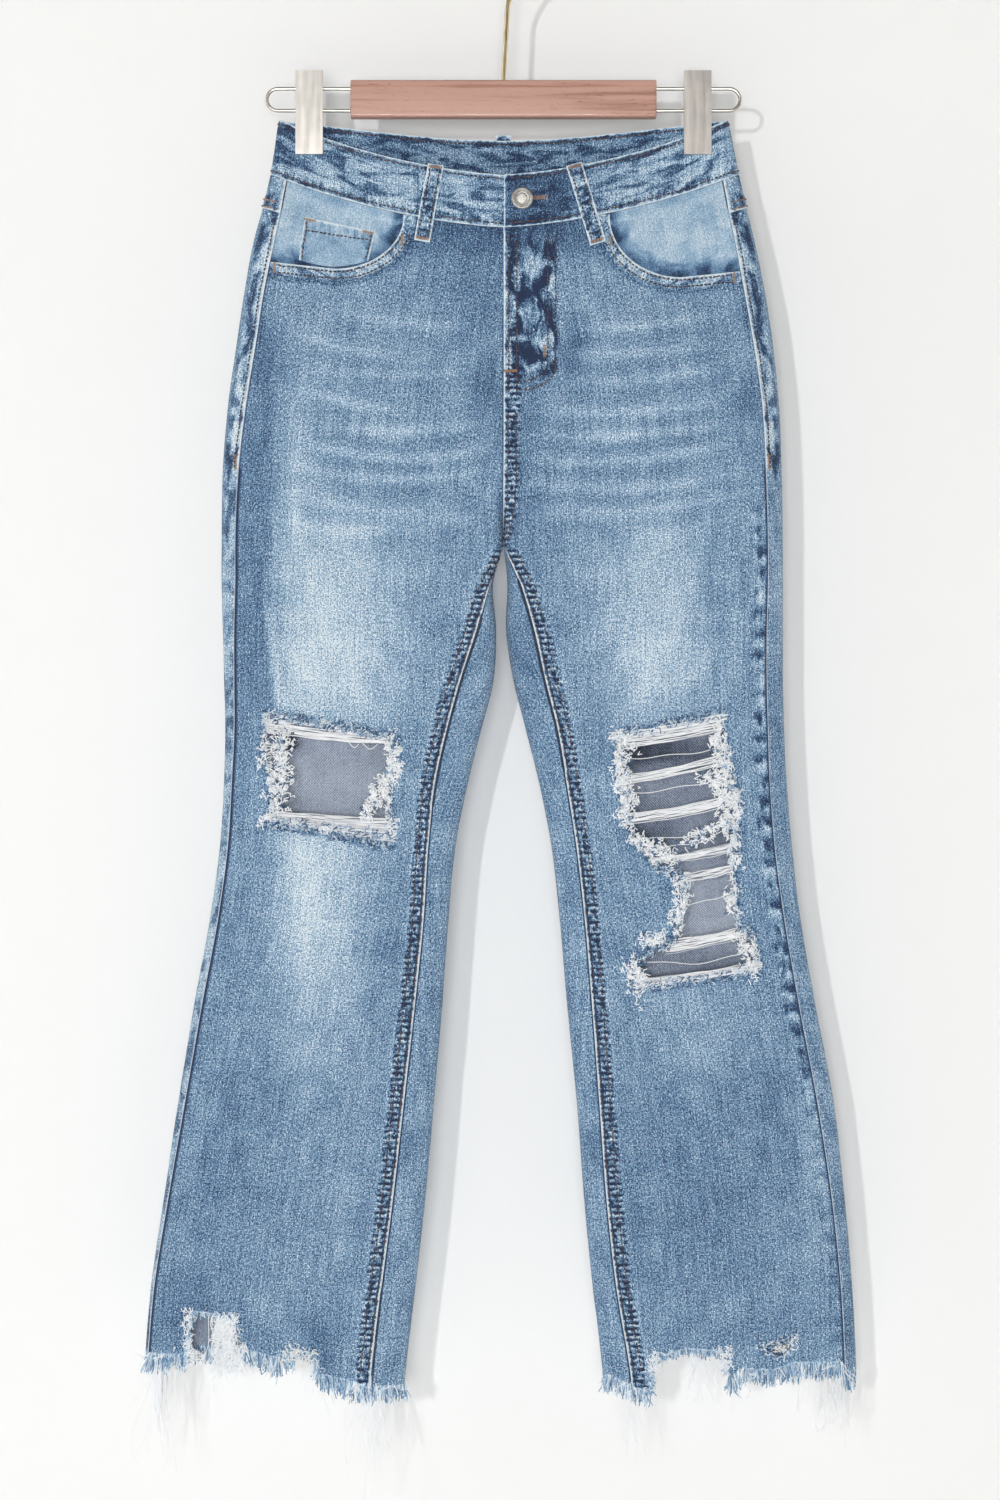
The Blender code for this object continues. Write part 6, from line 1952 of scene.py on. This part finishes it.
def makeHook():
    # a straight stem, a cubic curve (1-t)^3 a + 3(1-t)^2 t b + 3(1-t) t^2 c + t^3 d, and an arc
    look = hangerLook
    radius = look["inner"] + look["hookWire"]
    turn = np.radians(np.linspace(*look["turn"], 72))
    crook = np.array((0.0, -look["inner"])) + radius * np.stack([np.cos(turn), np.sin(turn)], 1)
    foot, neck = np.array((0.0, -look["top"] + gap)), np.array(look["neck"])
    heading = np.array((-np.sin(turn[0]), np.cos(turn[0])))
    stem = foot + np.linspace(0, 1, 12)[:-1, None] * (neck - foot)
    t = np.linspace(0, 1, 24)[:-1, None]
    leave, arrive = neck + look["swing"][0] * unit(neck - foot), crook[0] - look["swing"][1] * heading
    swing = (1 - t) ** 3 * neck + 3 * (1 - t) ** 2 * t * leave + 3 * (1 - t) * t**2 * arrive + t**3 * crook[0]
    x, z = np.concatenate([stem, swing, crook]).T
    oneWire("hook_wire", x, z, look["hookWire"], hookMetal, "hook", "hanger_hook")


makeBar()
for side in sides:
    makeWires(side)
makeHook()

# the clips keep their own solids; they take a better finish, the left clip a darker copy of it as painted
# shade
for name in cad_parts:
    if name.startswith("clip_"):
        for materialSlot in bpy.data.objects[name].material_slots:
            materialSlot.material = clipMetal if "right" in name else clipMetalShaded

print("stage: hanger and trims made")

stageLook = dict(
    wallY=0.105,
    floorDrop=1.56,
    half=3,  # half the width of the wall and floor
    high=2.5,
    camera=(-0.0028, -0.656),  # X and Z
    distance=2.3,
    view=1.2,  # metres seen along the long side, at the cloth
    clothY=-0.015,
    sensor=36.0,
    target=(0.0, 0.0, -0.6),
    world=(1.0, 0.985, 0.93, 1.0),
    worldPower=0.20,
)


def stagePlane(name, lowY, highY, top, tint):
    # a flat backdrop; seen from behind it is clear, so that every side can be looked at
    half, floorZ = stageLook["half"], -stageLook["floorDrop"]
    mesh = bpy.data.meshes.new(name)
    corners = [(-half, lowY, floorZ), (half, lowY, floorZ), (half, highY, top), (-half, highY, top)]
    mesh.from_pydata(corners, [], [(0, 1, 2, 3)])
    material, start, shader = newFinish(name, 0.9)
    grain = start.noise(start.place(), 40.0)
    join(grain.blend((*tint, 1.0), (*(0.99 * part for part in tint), 1.0)), shader)
    behind, clear = start.node("NewGeometry", output="Backfacing"), start.node("BsdfTransparent")
    made = Wire(start.tree, shader.outputs[0])
    either = start.node("MixShader", None, {0: behind, 1: made, 2: clear})
    join(either, start.tree.nodes["Material Output"], "Surface")
    mesh.materials.append(material)
    addObject(name, mesh)


look = stageLook
wallY, floorZ = look["wallY"], -look["floorDrop"]
stagePlane("backdrop", wallY, wallY, look["high"], (0.97, 0.97, 0.965))
stagePlane("floor", -4, wallY, floorZ, (0.90, 0.90, 0.895))


def areaLight(name, place, size, power, tint=(1.0, 1.0, 1.0)):
    # a soft square lamp turned towards the middle of the jeans
    lamp = bpy.data.lights.new(name, "AREA")
    lamp.shape, lamp.size, lamp.energy, lamp.color = "SQUARE", size, power, tint
    fromZ = -unit(np.array(stageLook["target"]) - place)
    sideX = unit(np.cross((0.0, 0.0, 1.0), fromZ))
    turned = np.eye(4)
    turned[:3] = np.stack([sideX, np.cross(fromZ, sideX), fromZ, place], 1)
    addObject(name, lamp).matrix_world = Matrix(turned.tolist())


areaLight("key", (-0.84, -4.0, -0.37), 0.10, 37.5)
areaLight("front", (-0.1, -4.2, -0.95), 0.7, 65.5, (1.0, 0.995, 0.985))
areaLight("side_left", (-3.4, -0.9, 0.4), 1.6, 20)
areaLight("side_right", (3.4, -0.7, 0.2), 1.6, 13)
areaLight("back_fill", (0.5, 3.0, 0.6), 2.5, 60)
scene = bpy.context.scene
scene.world = bpy.data.worlds.new("studio")
scene.world.use_nodes = True
background = scene.world.node_tree.nodes["Background"]
background.inputs["Color"].default_value = look["world"]
background.inputs["Strength"].default_value = look["worldPower"]
scene.view_settings.view_transform = "Standard"

scene.camera = addObject("camera", bpy.data.cameras.new("camera"))
cameraX, cameraZ = look["camera"]
scene.camera.location = (cameraX, look["clothY"] - look["distance"], cameraZ)
scene.camera.rotation_euler = (np.pi / 2, 0.0, 0.0)
scene.camera.data.sensor_width = look["sensor"]
scene.camera.data.lens = look["sensor"] * look["distance"] / look["view"]

print("stage: ready")
